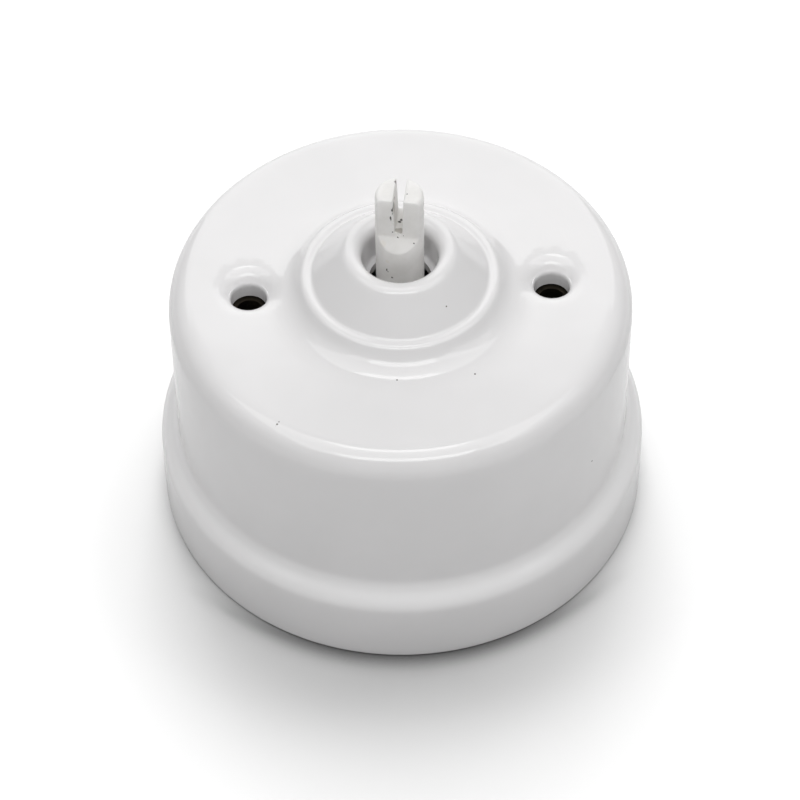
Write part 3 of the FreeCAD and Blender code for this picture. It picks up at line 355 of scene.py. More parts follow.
def coverLines(c):
    # the outer line from the bore to the foot, and the inner line back to the bore
    top = c["plateau"]
    lipTop = top + c["lipHeight"]
    lipLevel = lipTop - c["lipRound"]
    slope = math.radians(c["coneSlope"])
    coneTop = (c["boreRadius"] + c["lipRound"] * (1 + math.sin(slope)),
               lipLevel + c["lipRound"] * math.cos(slope))
    coneFoot = (coneTop[0] + (coneTop[1] - top - c["coneFoot"]) / math.tan(slope), top + c["coneFoot"])
    beadEdge = top + c["beadHeight"] - c["beadDrop"]
    beadIn = (c["beadRadius"] - c["beadWidth"] / 2, beadEdge)
    beadOut = (c["beadRadius"] + c["beadWidth"] / 2, beadEdge)
    bossFoot = (c["bossRadius"], top)
    lean = math.radians(c["waistLean"])
    taper = math.radians(c["edgeLean"])
    waist = (c["drumRadius"] + c["waistHollow"] * (1 - math.cos(lean)),
             c["waistTop"] - c["waistHollow"] * math.sin(lean))
    edge = (waist[0] + c["edgeRound"] * (math.cos(taper) - math.cos(lean)),
            waist[1] - c["edgeRound"] * (math.sin(lean) - math.sin(taper)))
    taperRound = (c["flangeRadius"] - edge[0]) / (1 - math.cos(taper))
    flangeTop = (c["flangeRadius"], edge[1] - taperRound * math.sin(taper))
    outer = [(c["landRadius"], c["landTop"]), (c["boreRadius"], c["landTop"])]
    outer += arcPoints((c["boreRadius"], lipLevel), coneTop, c["lipRound"], -1, 40)
    outer += [coneFoot]
    outer += arcPoints(beadIn, beadOut, risingRadius(c["beadWidth"] / 2, c["beadDrop"]), -1, 24)
    outer += arcPoints(beadOut, bossFoot, risingRadius(bossFoot[0] - beadOut[0], beadEdge - top), 1, 50)
    outer += arcPoints((c["drumRadius"] - c["shoulderRound"], top), (c["drumRadius"], top - c["shoulderRound"]),
                       c["shoulderRound"], -1, 40)
    outer += arcPoints((c["drumRadius"], c["waistTop"]), waist, c["waistHollow"], 1, 30)
    outer += arcPoints(waist, edge, c["edgeRound"], -1, 30)
    outer += arcPoints(edge, flangeTop, taperRound, -1, 30)
    foot = (c["flangeRadius"] - c["footRound"], 0.0)
    outer += arcPoints((c["flangeRadius"], c["footRound"]), foot, c["footRound"], -1, 12)
    inner = [foot, (c["mouthRadius"] + c["mouthEdge"], 0.0), (c["mouthRadius"], c["mouthEdge"])]
    inner += [(c["mouthRadius"], c["seat"]), (c["cavityRadius"], c["seat"])]
    inner += arcPoints((c["cavityRadius"], c["ceiling"] - c["ceilingRound"]),
                       (c["cavityRadius"] - c["ceilingRound"], c["ceiling"]), c["ceilingRound"], 1, 10)
    crown = [(c["hollowMouth"], c["ceiling"]), (c["hollowTop"], c["landLow"]), (c["landRadius"], c["landLow"])]
    return softLine(outer, c["step"], c["softness"]), [Vector(p) for p in inner], [Vector(p) for p in crown]


def dishDrop(c, away):
    # how far the dish round a hole lies below the flat top
    inside = c["holeRadius"] + c["dishWidth"] - away
    if inside <= 0:
        return 0.0
    arc = risingRadius(c["dishWidth"], c["dishDepth"])
    return arc - math.sqrt(max(arc * arc - inside * inside, 0.0))


def ringPoints(radius, segments, centre=(0, 0)):
    turns = [2 * math.pi * index / segments for index in range(segments)]
    return [Vector((centre[0] + radius * math.cos(t), centre[1] + radius * math.sin(t))) for t in turns]


def sheetBetween(rings, centres, holeRings, gap, height):
    # a flat net of triangles between an inner and an outer ring, with round holes, then lifted to its height
    clear = holeRings[0][1] + gap
    points = []
    loops = []
    for number, (segments, radius) in enumerate(rings):
        ring = ringPoints(radius, segments)
        if number in (0, len(rings) - 1):
            loops.append(range(len(points), len(points) + segments))
        else:
            ring = [p for p in ring if all((p - Vector(c)).length > clear for c in centres)]
        points += ring
    for centre in centres:
        for number, (segments, radius) in enumerate(holeRings):
            if number == len(holeRings) - 1:
                loops.append(range(len(points), len(points) + segments))
            points += ringPoints(radius, segments, centre)
    edges = [(loop[i], loop[(i + 1) % len(loop)]) for loop in loops for i in range(len(loop))]
    net = delaunay_2d_cdt(points, edges, [], 0, 1e-6)
    flat, faces = net[0], net[2]
    openings = [(Vector((0, 0)), rings[0][1])] + [(Vector(c), holeRings[-1][1]) for c in centres]
    kept = []
    for face in faces:  # a face inside an opening has all its corners on the opening's edge
        corners = [flat[i] for i in face]
        if not any(all((p - c).length < radius * 1.00001 for p in corners) for c, radius in openings):
            kept.append(face)
    return [(p.x, p.y, height(p)) for p in flat], kept


def throatFaces(centre, segments, steps, height):
    # the wall of one hole: from the dish, over its eased edge, down to the ceiling
    points = [(p.x, p.y, height(p)) for p in ringPoints(steps[0][0], segments, centre)]
    faces = []
    for radius, level in steps[1:]:
        points += [(p.x, p.y, level) for p in ringPoints(radius, segments, centre)]
    for row in range(len(steps) - 1):
        for index in range(segments):
            after = (index + 1) % segments
            faces.append((row * segments + index, (row + 1) * segments + index,
                          (row + 1) * segments + after, row * segments + after))
    return points, faces


def makeCoverTree():
    tree = newTree("coverTurned", [("Crown Line", "Object"), ("Side Line", "Object"), ("Segments", "Int"),
                                   ("Weld", "Float"), ("Sharp", "Float"), ("Material", "Material")])
    given = tree.nodes.new("NodeGroupInput").outputs
    joined = tree.nodes.new("GeometryNodeJoinGeometry")
    tree.links.new(given["Geometry"], joined.inputs[0])
    for label in ("Crown Line", "Side Line"):
        line = treeNode(tree, "GeometryNodeObjectInfo", {"transform_space": "ORIGINAL"}, Object=given[label])
        turned = tree.nodes.new("GeometryNodeGroup")
        turned.node_tree = turnTree
        tree.links.new(line.outputs["Geometry"], turned.inputs["Geometry"])
        tree.links.new(given["Segments"], turned.inputs["Segments"])
        tree.links.new(turned.outputs[0], joined.inputs[0])
    welded = treeNode(tree, "GeometryNodeMergeByDistance", Geometry=joined.outputs[0], Distance=given["Weld"])
    finishTree(tree, welded.outputs[0], given["Material"], given["Sharp"])
    return tree


def turnOutwards(mesh):
    work = bmesh.new()
    work.from_mesh(mesh)
    bmesh.ops.recalc_face_normals(work, faces=work.faces)
    print("  open edges:", sum(1 for edge in work.edges if not edge.is_manifold))
    work.to_mesh(mesh)
    work.free()


def makeCover(c, material):
    outer, inner, crown = coverLines(c)
    rings = pickRings(outer, math.radians(c["ringTurn"]), c["ringLongest"], c["ringShortest"], c["ringGrowth"])
    flatFrom = c["plateau"] - c["sheetPlay"]
    fromIn = next(i for i, p in enumerate(rings) if p.x > c["sheetInside"])
    toOut = max(i for i, p in enumerate(rings) if p.x < c["sheetOutside"] and p.y > flatFrom)
    sheetRings = rings[fromIn:toOut + 1]
    crownLine = crown + rings[:fromIn + 1]
    sideLine = rings[toOut:] + inner[1:]

    def levelAt(radius):
        for a, b in zip(sheetRings, sheetRings[1:]):
            if radius <= b.x:
                return a.y + (b.y - a.y) * max(0.0, (radius - a.x) / (b.x - a.x))
        return sheetRings[-1].y

    centres = [(-c["holeReach"], 0.0), (c["holeReach"], 0.0)]
    dishes = [Vector((x, y + c["dishShift"])) for x, y in centres]  # the dishes sit a little behind the holes

    def topLevel(p):
        return levelAt(p.length) - sum(dishDrop(c, (p - dish).length) for dish in dishes)

    outside = c["holeRadius"] + c["dishWidth"]
    rim = c["holeRadius"] + c["holeEdge"]
    shares = [(step / c["dishSteps"]) ** c["dishCrowd"] for step in range(c["dishSteps"] + 1)]
    dishRings = [(c["holeSegments"], outside + (rim - outside) * share) for share in shares]
    topNet = sheetBetween([(c["segments"], p.x) for p in sheetRings], centres, dishRings, c["netGap"], topLevel)
    ceilingRings = [(c["segments"], c["hollowMouth"]), (c["segments"], inner[-1].x)]
    throat = [(c["holeSegments"], c["holeRadius"] + c["throatBand"]), (c["holeSegments"], c["holeRadius"])]
    ceilingNet = sheetBetween(ceilingRings, centres, throat, c["netGap"], lambda p: c["ceiling"])
    points, faces = topNet[0], list(topNet[1])
    base = len(points)
    points = points + ceilingNet[0]
    faces += [tuple(reversed([base + i for i in face])) for face in ceilingNet[1]]
    rimLevel = c["plateau"] - dishDrop(c, rim)
    edgeSteps = [(rim, rimLevel)]
    for step in range(1, c["edgeSteps"] + 1):  # the eased edge turns from the dish's slope to upright
        share = step / c["edgeSteps"]
        edgeSteps.append((rim - c["holeEdge"] * math.sin(share * math.pi / 2) ** 0.8,
                          rimLevel - c["holeEdge"] * c["edgeDrop"] * share ** 1.4))
    edgeSteps += [(c["holeRadius"], c["ceiling"] + c["throatFoot"]), (c["holeRadius"], c["ceiling"])]
    for centre in centres:
        wall = throatFaces(centre, c["holeSegments"], edgeSteps, topLevel)
        base = len(points)
        points = points + wall[0]
        faces += [tuple(base + i for i in face) for face in wall[1]]
    shell = addPiece("coverGlazed", meshFrom("coverSheets", points, faces))
    lines = []
    for name, line in (("crownLine", crownLine), ("sideLine", sideLine)):
        run = [(p.x, 0.0, p.y) for p in line]
        lines.append(addPiece(name, meshFrom(name, run, (), [(i, i + 1) for i in range(len(run) - 1)])))
    tree = makeCoverTree()
    runTree(shell, tree, {"Crown Line": lines[0], "Side Line": lines[1], "Segments": c["segments"],
                          "Weld": c["weld"] * mm, "Sharp": math.radians(c["sharp"]), "Material": material})
    mesh = plainMesh(shell, "coverGlazed")
    for line in lines:
        dropPiece(line)
    shell.modifiers.clear()
    old = shell.data
    shell.data = mesh
    bpy.data.meshes.remove(old)
    turnOutwards(mesh)
    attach(shell, "housing")
    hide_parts("porcelain_cover")
    print("cover made, faces:", len(mesh.polygons))


makeCover(coverShape, makeGlaze(glazeLook))


mergeWithin = 0.0005


def copyOfNode(node, name):
    # a merged copy of a CAD node, to be worked on
    work = bmesh.new()
    work.from_mesh(nodes[node].data)
    bmesh.ops.remove_doubles(work, verts=work.verts, dist=mergeWithin * mm)
    mesh = bpy.data.meshes.new(name)
    work.to_mesh(mesh)
    work.free()
    mesh.materials.clear()
    return addPiece(name, mesh)


def settle(piece, material):
    # modifiers turned into a plain mesh, shaded smooth, with one material
    mesh = plainMesh(piece, piece.name)
    piece.modifiers.clear()
    old = piece.data
    piece.data = mesh
    bpy.data.meshes.remove(old)
    mesh.materials.clear()
    mesh.materials.append(material)
    mesh.shade_smooth()
    return mesh


def softened(piece, voxel, rounds, keep):
    # one skin all over, its edges eased, thinned where it is flat
    skin = piece.modifiers.new("skin", "REMESH")
    skin.mode = "VOXEL"
    skin.voxel_size = voxel * mm
    ease = piece.modifiers.new("ease", "SMOOTH")
    ease.factor = 0.5
    ease.iterations = rounds
    thin = piece.modifiers.new("thin", "DECIMATE")
    thin.ratio = keep


spindleLook = {
    "colour": (0.83, 0.82, 0.805), "shade": (0.77, 0.76, 0.74), "roughness": 0.46,
    "shadeScale": 420.0, "dullScale": 900.0, "grainScale": 1500.0, "grainStrength": 0.12, "grainDepth": 0.2,
    "breakScale": 1900.0, "breakAmount": 0.45, "glow": 0.6, "glowReach": 2.5,
    "grimeColour": (0.06, 0.055, 0.05), "yellowColour": (0.79, 0.77, 0.73), "paintedSlitShadeColour": (0.46, 0.44, 0.41),
    "grime": [  # place, radius, stretch
        ((-0.74, -0.55, 52.75), 0.28, (1, 2.2, 1)), ((-0.64, 0.20, 52.95), 0.20, (1, 2, 1)),
        ((-0.82, -1.02, 52.60), 0.30, (1, 1, 1.2)), ((-0.98, -1.27, 52.35), 0.20, (0.8, 1, 1.5)),
        ((-0.96, -1.30, 51.75), 0.17, (0.8, 1, 1.8)), ((-1.16, -1.31, 50.95), 0.16, (1, 1, 3.2)),
        ((0.02, 0.60, 48.20), 0.22, (1.4, 1, 1)), ((0.28, 0.90, 48.20), 0.20, (1, 1.4, 1)),
        ((-0.37, 2.04, 53.90), 0.20, (1, 1.6, 1)), ((1.00, -0.10, 53.95), 0.13, (1, 1.5, 1)),
        ((-0.34, -1.55, 47.63), 0.11, (1, 1, 1)), ((-0.93, -1.36, 48.43), 0.13, (1, 1, 1)),
        ((0.42, -1.59, 47.90), 0.10, (1, 1, 1)), ((1.68, -2.33, 47.18), 0.12, (1.5, 1, 1)),
        ((-1.76, -2.55, 42.71), 0.15, (1, 1, 2.2)), ((-1.62, -2.62, 42.35), 0.12, (1, 1, 1.6)),
        ((-1.12, -2.89, 41.54), 0.15, (1, 1, 1)),
    ],
    # painted shade on the slit's floor and on its left wall
    "paintedSlitShade": [((-0.05, -0.95, 48.20), 0.55, (1.3, 1, 0.8)), ((-0.78, -0.20, 51.60), 0.30, (1, 3, 3.5))],
    "yellow": [((-2.29, -1.91, 46.94), 0.55), ((-1.71, -2.58, 44.30), 0.35)],
}

spindleShape = {
    "turn": -9.5, "voxel": 0.1, "ease": 9, "keep": 0.4,
    "ragged": 0.7, "raggedScale": 1.7, "raggedStep": 7.1, "raggedShift": 3.0,
    "bites": [  # across, along, height, half sizes: where the slit's edges are broken out
        (-0.72, -1.50, 52.60, (0.16, 0.26, 0.22)),
        (-0.66, -1.45, 51.75, (0.12, 0.30, 0.30)),
        (-0.74, -1.52, 50.95, (0.15, 0.22, 0.26)),
        (-0.70, -1.52, 49.70, (0.20, 0.20, 0.55)),
        (0.62, -1.48, 51.20, (0.12, 0.24, 0.18)),
        (0.66, -0.60, 54.02, (0.14, 0.30, 0.20)),
        (-0.72, 2.55, 54.05, (0.18, 0.40, 0.24)),
        (0.30, -1.30, 48.28, (0.26, 0.30, 0.20)),
    ],
}


def raggedPlace(tree, place, scale, amount):
    # the place shifted a little by noise, so that marks get broken edges
    noiseNode = treeNode(tree, "ShaderNodeTexNoise", Vector=place, Scale=scale, Detail=3.0)
    centred = treeNode(tree, "ShaderNodeVectorMath", {"operation": "SUBTRACT"})
    tree.links.new(noiseNode.outputs["Color"], centred.inputs[0])
    centred.inputs[1].default_value = (0.5, 0.5, 0.5)
    scaled = treeNode(tree, "ShaderNodeVectorMath", {"operation": "SCALE"})
    tree.links.new(centred.outputs[0], scaled.inputs[0])
    scaled.inputs["Scale"].default_value = amount * mm
    moved = treeNode(tree, "ShaderNodeVectorMath", {"operation": "ADD"})
    tree.links.new(place, moved.inputs[0])
    tree.links.new(scaled.outputs[0], moved.inputs[1])
    return moved.outputs[0]


def makeSpindlePlastic(look):
    material, tree, shader = startMaterial("spindlePlastic", look["colour"], look["roughness"])
    place = objectPlace(tree)
    drift = between(tree, cloud(tree, place, look["shadeScale"], 4.0), 0.35, 0.75)
    colour = tint(tree, drift, look["colour"], look["shade"])
    broken = raggedPlace(tree, place, look["breakScale"], look["breakAmount"])
    # the yellowing and the grime are the plastic's own; the slit marks are painted shade
    for kind in ("yellow", "paintedSlitShade", "grime"):
        colour = tint(tree, marksAt(tree, broken, look[kind]), colour, look[kind + "Colour"])
    tree.links.new(colour, shader.inputs["Base Color"])
    dull = between(tree, cloud(tree, place, look["dullScale"], 3.0), 0.3, 0.75, look["roughness"] * 0.85,
                   look["roughness"] * 1.2)
    tree.links.new(dull, shader.inputs["Roughness"])
    grain = cloud(tree, place, look["grainScale"], 4.0)
    bumpFrom(tree, shader, grain, look["grainStrength"], look["grainDepth"] * mm)
    # light goes a little way into the white plastic
    shader.inputs["Subsurface Weight"].default_value = look["glow"]
    shader.inputs["Subsurface Radius"].default_value = (1, 1, 1)
    shader.inputs["Subsurface Scale"].default_value = look["glowReach"] * mm
    return material


def makeBites(s):
    work = bmesh.new()
    turned = Matrix.Rotation(math.radians(s["turn"]), 3, "Z")
    for number, (across, along, level, half) in enumerate(s["bites"]):
        for vert in bmesh.ops.create_icosphere(work, subdivisions=3, radius=1.0)["verts"]:
            drawn = vert.co * s["raggedScale"] + Vector((s["raggedStep"] * number, s["raggedShift"], 0))
            rough = 1 + s["ragged"] * noise.noise(drawn)
            spot = Vector([c * h * rough for c, h in zip(vert.co, half)]) + Vector((across, along, level))
            vert.co = turned @ spot * mm
    mesh = bpy.data.meshes.new("slitBites")
    work.to_mesh(mesh)
    work.free()
    return addPiece("slitBites", mesh)


def makeSpindle(s, material):
    spindle = copyOfNode("spindle", "spindleWorn")
    bites = makeBites(s)
    bitten = spindle.modifiers.new("bites", "BOOLEAN")
    bitten.object = bites
    bitten.operation = "DIFFERENCE"
    bitten.solver = "EXACT"
    bitten.use_self = True
    softened(spindle, s["voxel"], s["ease"], s["keep"])
    mesh = settle(spindle, material)
    dropPiece(bites)
    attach(spindle, "rotor")
    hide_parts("spindle")
    print("spindle made, faces:", len(mesh.polygons))


makeSpindle(spindleShape, makeSpindlePlastic(spindleLook))


baseShape = {"voxel": 0.34, "ease": 2, "keep": 0.32}

baseLook = {
    "glaze": (0.79, 0.785, 0.77), "shade": (0.755, 0.75, 0.735), "body": (0.70, 0.68, 0.65), "roughness": 0.14,
    "ior": 1.52, "shadeScale": 70.0, "waveScale": 150.0, "waveStrength": 0.08, "waveDepth": 0.4,
    "grainScale": 2400.0, "grainShare": 0.5, "wanderScale": 180.0, "wander": 0.5,
    "dryRoughness": 0.72, "dryLevel": 0.6, "dryFade": 0.35,  # the foot is left unglazed
}


def makeBasePorcelain(look):
    material, tree, shader = startMaterial("basePorcelain", look["glaze"], look["roughness"])
    place = objectPlace(tree)
    level = treeNode(tree, "ShaderNodeSeparateXYZ", Vector=place).outputs["Z"]
    wander = mathNode(tree, "MULTIPLY", cloud(tree, place, look["wanderScale"], 3.0), look["wander"] * mm)
    foot = between(tree, mathNode(tree, "ADD", level, wander), look["dryLevel"] * mm,
                   (look["dryLevel"] + look["dryFade"]) * mm, 1.0, 0.0)
    drift = between(tree, cloud(tree, place, look["shadeScale"], 3.0), 0.35, 0.7)
    glazed = tint(tree, drift, look["glaze"], look["shade"])
    grain = cloud(tree, place, look["grainScale"], 2.0)
    dry = tint(tree, between(tree, grain, 0.35, 0.7), look["body"], [value * 0.9 for value in look["body"]])
    tree.links.new(tint(tree, foot, glazed, dry), shader.inputs["Base Color"])
    dull = mathNode(tree, "MULTIPLY", foot, look["dryRoughness"] - look["roughness"])
    tree.links.new(mathNode(tree, "ADD", dull, look["roughness"]), shader.inputs["Roughness"])
    shader.inputs["IOR"].default_value = look["ior"]
    waves = cloud(tree, place, look["waveScale"], 2.0)
    rough = mathNode(tree, "MULTIPLY", mathNode(tree, "MULTIPLY", grain, foot), look["grainShare"])
    height = mathNode(tree, "ADD", waves, rough)
    bumpFrom(tree, shader, height, look["waveStrength"], look["waveDepth"] * mm)
    return material


def makeBase(b, material):
    base = copyOfNode("porcelain_base", "baseGlazed")
    softened(base, b["voxel"], b["ease"], b["keep"])
    mesh = settle(base, material)
    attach(base, "housing")
    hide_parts("porcelain_base")
    print("base made, faces:", len(mesh.polygons))


makeBase(baseShape, makeBasePorcelain(baseLook))


screwShape = {
    "headRadius": 2.5, "headHeight": 2.0, "headRound": 0.22, "headPlay": 0.01, "seatRound": 0.4,
    "shankRadius": 1.49, "threadDepth": 0.28, "pitch": 0.5, "slotWidth": 0.8, "slotDepth": 0.9,
    "segments": 40, "rowsInPitch": 6, "sharp": 28.0,
    "terminalReach": 18.5, "terminalTurns": (45, 135, 225), "yokeReach": 15.6,
    "slotTurns": (12, 64, 118, 33, 95, 150, 20, 71),  # how far each screw was turned when it was tightened
}


def makeScrewTree():
    # a slotted cheese head with a threaded shank below it, put on every point
    tree = newTree("slottedScrews", [
        ("Head Line", "Object"), ("Segments", "Int"), ("Rows", "Int"), ("Shank Length", "Float"),
        ("Shank Radius", "Float"), ("Thread Depth", "Float"), ("Pitch", "Float"), ("Slot Size", "Vector"),
        ("Slot Place", "Vector"), ("Sharp", "Float"), ("Material", "Material")])
    given = tree.nodes.new("NodeGroupInput").outputs
    line = treeNode(tree, "GeometryNodeObjectInfo", {"transform_space": "ORIGINAL"}, Object=given["Head Line"])
    head = tree.nodes.new("GeometryNodeGroup")
    head.node_tree = turnTree
    tree.links.new(line.outputs["Geometry"], head.inputs["Geometry"])
    tree.links.new(given["Segments"], head.inputs["Segments"])
    bar = treeNode(tree, "GeometryNodeMeshCube", Size=given["Slot Size"])
    placed = treeNode(tree, "GeometryNodeTransform", Geometry=bar.outputs["Mesh"],
                      Translation=given["Slot Place"])
    slotted = tree.nodes.new("GeometryNodeMeshBoolean")
    slotted.operation = "DIFFERENCE"
    tree.links.new(head.outputs[0], slotted.inputs["Mesh 1"])
    tree.links.new(placed.outputs[0], slotted.inputs["Mesh 2"])
    rod = treeNode(tree, "GeometryNodeMeshCylinder", {"fill_type": "TRIANGLE_FAN"}, Vertices=given["Segments"],
                   Side_Segments=given["Rows"], Radius=given["Shank Radius"], Depth=given["Shank Length"])
    place = tree.nodes.new("GeometryNodeInputPosition").outputs[0]
    parts = treeNode(tree, "ShaderNodeSeparateXYZ", Vector=place).outputs
    turn = mathNode(tree, "DIVIDE", mathNode(tree, "ARCTAN2", parts["Y"], parts["X"]), 2 * math.pi)
    climb = mathNode(tree, "ADD", mathNode(tree, "DIVIDE", parts["Z"], given["Pitch"]), turn)
    wave = mathNode(tree, "PINGPONG", climb, 0.5)
    groove = mathNode(tree, "MULTIPLY", mathNode(tree, "MULTIPLY", wave, 2.0), given["Thread Depth"])
    share = mathNode(tree, "SUBTRACT", 1.0, mathNode(tree, "DIVIDE", groove, given["Shank Radius"]))
    narrowed = treeNode(tree, "ShaderNodeCombineXYZ", X=mathNode(tree, "MULTIPLY", parts["X"], share),
                        Y=mathNode(tree, "MULTIPLY", parts["Y"], share), Z=parts["Z"])
    threaded = treeNode(tree, "GeometryNodeSetPosition", Geometry=rod.outputs["Mesh"],
                        Position=narrowed.outputs[0])
    drop = treeNode(tree, "ShaderNodeCombineXYZ", Z=mathNode(tree, "MULTIPLY", given["Shank Length"], 0.5))
    hung = treeNode(tree, "GeometryNodeTransform", Geometry=threaded.outputs[0], Translation=drop.outputs[0])
    whole = tree.nodes.new("GeometryNodeJoinGeometry")
    tree.links.new(slotted.outputs["Mesh"], whole.inputs[0])
    tree.links.new(hung.outputs[0], whole.inputs[0])
    way = treeNode(tree, "GeometryNodeInputNamedAttribute", {"data_type": "FLOAT_VECTOR"}, Name="way")
    facing = treeNode(tree, "FunctionNodeEulerToRotation", Euler=way.outputs["Attribute"])
    screws = treeNode(tree, "GeometryNodeInstanceOnPoints", Points=given["Geometry"], Instance=whole.outputs[0],
                      Rotation=facing.outputs[0])
    finishTree(tree, screws.outputs[0], given["Material"], given["Sharp"])
    return tree


def makeScrews(s, tree, node, places, pointsUp, turns, material):
    low, high = [corner.z / mm for corner in map(Vector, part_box(node))]
    seat = low + s["headHeight"] if pointsUp else high - s["headHeight"]
    length = high - seat if pointsUp else seat - low
    spots = meshFrom(node + "Places", [(x, y, seat) for x, y in places])
    ways = spots.attributes.new("way", "FLOAT_VECTOR", "POINT")
    for index, turn in enumerate(turns):
        ways.data[index].vector = (0.0 if pointsUp else math.pi, 0.0, math.radians(turn))
    piece = addPiece(node + "Slotted", spots)
    r, h, e = s["headRadius"] - s["headPlay"], s["headHeight"], s["headRound"]
    under = e * s["seatRound"]
    outline = [(0, 0), (r - under, 0), (r, -under)]
    outline += arcPoints((r, e - h), (r - e, -h), e, -1, 5) + [(0, -h)]
    run = [(x, 0.0, z) for x, z in outline]
    line = addPiece("headLine", meshFrom("headLine", run, (), [(i, i + 1) for i in range(len(run) - 1)]))
    rows = round(length / s["pitch"] * s["rowsInPitch"])
    depth = s["slotDepth"] * mm
    runTree(piece, tree, {
        "Head Line": line, "Segments": s["segments"], "Rows": rows, "Shank Length": length * mm,
        "Shank Radius": s["shankRadius"] * mm, "Thread Depth": s["threadDepth"] * mm, "Pitch": s["pitch"] * mm,
        "Slot Size": (4 * r * mm, s["slotWidth"] * mm, 2 * depth), "Slot Place": (0, 0, -h * mm),
        "Sharp": math.radians(s["sharp"]), "Material": material})
    mesh = plainMesh(piece, piece.name)
    piece.modifiers.clear()
    piece.data = mesh
    bpy.data.meshes.remove(spots)
    dropPiece(line)
    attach(piece, "housing")
    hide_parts(node)
    print(node, "made, faces:", len(mesh.polygons))


def makeAllScrews(s, material):
    tree = makeScrewTree()
    around = [math.radians(turn) for turn in s["terminalTurns"]]
    terminals = [(s["terminalReach"] * math.cos(a), s["terminalReach"] * math.sin(a)) for a in around]
    ends = [(0, s["yokeReach"]), (0, -s["yokeReach"])]
    makeScrews(s, tree, "terminal_screws", terminals, True, s["slotTurns"][:3], material)
    makeScrews(s, tree, "clamp_screws", terminals, False, s["slotTurns"][3:6], material)
    makeScrews(s, tree, "yoke_screws", ends, True, s["slotTurns"][6:], material)


metalLooks = {  # colour, darker colour, roughness, cloud scale, grain stretch
    "brass": ((0.72, 0.53, 0.24), (0.50, 0.34, 0.14), 0.30, 160.0, (1, 1, 9)),
    "springBronze": ((0.66, 0.42, 0.24), (0.45, 0.26, 0.13), 0.26, 220.0, (8, 1, 1)),
    "contactSilver": ((0.80, 0.79, 0.76), (0.46, 0.43, 0.38), 0.24, 600.0, (1, 1, 1)),
    "zincSteel": ((0.62, 0.64, 0.66), (0.44, 0.45, 0.45), 0.34, 350.0, (1, 1, 1)),
    "springSteel": ((0.42, 0.43, 0.45), (0.26, 0.26, 0.28), 0.28, 240.0, (1, 8, 1)),
    # painted shade: the inserts under the screw holes are painted near black so that the holes read dark inside
    "darkBrass": ((0.045, 0.038, 0.028), (0.018, 0.016, 0.013), 0.62, 420.0, (1, 1, 1)),
}
metalGrain = {"scale": 1800.0, "strength": 0.10, "depth": 0.1}


def makeMetal(name, colour, dark, roughness, scale, stretch):
    material, tree, shader = startMaterial(name, colour, roughness, 1.0)
    place = objectPlace(tree)
    dull = between(tree, cloud(tree, place, scale, 5.0, 0.6), 0.42, 0.72)
    tree.links.new(tint(tree, dull, colour, dark), shader.inputs["Base Color"])
    drawn = treeNode(tree, "ShaderNodeMapping", Vector=place)
    drawn.inputs["Scale"].default_value = stretch
    lines = cloud(tree, drawn.outputs[0], metalGrain["scale"], 3.0)
    both = mathNode(tree, "ADD", mathNode(tree, "MULTIPLY", dull, 0.6), mathNode(tree, "MULTIPLY", lines, 0.5))
    blur = between(tree, both, 0.1, 0.9, roughness * 0.75, roughness * 1.5)
    tree.links.new(blur, shader.inputs["Roughness"])
    bumpFrom(tree, shader, lines, metalGrain["strength"], metalGrain["depth"] * mm)
    return material


mouldingLooks = {  # colour, lighter colour, roughness
    "blackMoulding": ((0.022, 0.021, 0.020), (0.045, 0.043, 0.040), 0.36),
    "camMoulding": ((0.55, 0.53, 0.48), (0.62, 0.60, 0.55), 0.42),
}
mouldingGrain = {"flow": 300.0, "scale": 2600.0, "strength": 0.15, "depth": 0.1}


def makeMoulding(name, colour, light, roughness):
    material, tree, shader = startMaterial(name, colour, roughness)
    place = objectPlace(tree)
    flow = between(tree, cloud(tree, place, mouldingGrain["flow"], 5.0), 0.35, 0.75)
    tree.links.new(tint(tree, flow, colour, light), shader.inputs["Base Color"])
    grain = cloud(tree, place, mouldingGrain["scale"], 3.0)
    blur = between(tree, grain, 0.3, 0.75, roughness * 0.8, roughness * 1.3)
    tree.links.new(blur, shader.inputs["Roughness"])
    bumpFrom(tree, shader, grain, mouldingGrain["strength"], mouldingGrain["depth"] * mm)
    return material


finishes = {name: makeMetal(name, *look) for name, look in metalLooks.items()}
finishes.update({name: makeMoulding(name, *look) for name, look in mouldingLooks.items()})

nodeFinishes = {
    "brass": ("terminal_common", "terminal_one", "terminal_two", "bearing_bush", "moving_contact"),
    # the near-black inserts are painted shade in the screw holes
    "darkBrass": ("cover_insert_left", "cover_insert_right"),
    "springBronze": ("contact_spring_common", "contact_spring_one", "contact_spring_two"),
    "contactSilver": ("contact_button_common", "contact_button_one", "contact_button_two"),
    "zincSteel": ("yoke", "bush_nut", "thrust_washer", "rotor_washer"),
    "springSteel": ("index_spring_rear", "index_spring_front"),
    "blackMoulding": ("rotor_hub",),
    "camMoulding": ("index_cam",),
}

for finish, members in nodeFinishes.items():
    for member in members:
        nodeMesh = nodes[member].data
        nodeMesh.materials.clear()
        nodeMesh.materials.append(finishes[finish])
makeAllScrews(screwShape, finishes["zincSteel"])
print("finishes set:", sum(len(members) for members in nodeFinishes.values()))


cameraSet = {
    "distance": 450.0, "height": 13.755, "aside": -0.23, "elevation": 50.04, "azimuth": -2.05, "roll": -0.72,
    "lens": 150.6, "sensor": 36.0, "clip": (0.01, 20.0),
}


def makeCamera(c):
    turn = math.radians(c["azimuth"])
    lift = math.radians(c["elevation"])
    back = Vector((math.sin(turn) * math.cos(lift), -math.cos(turn) * math.cos(lift), math.sin(lift)))
    target = Vector((c["aside"], 0, c["height"])) * mm
    data = bpy.data.cameras.new("photoCamera")
    data.lens = c["lens"]
    data.sensor_width = c["sensor"]
    data.clip_start, data.clip_end = c["clip"]
    camera = bpy.data.objects.new("photoCamera", data)
    roll = Matrix.Rotation(math.radians(c["roll"]), 4, "Z")
    facing = back.to_track_quat("Z", "Y").to_matrix().to_4x4() @ roll
    camera.matrix_world = Matrix.Translation(target + back * c["distance"] * mm) @ facing
    scene.collection.objects.link(camera)
    scene.camera = camera


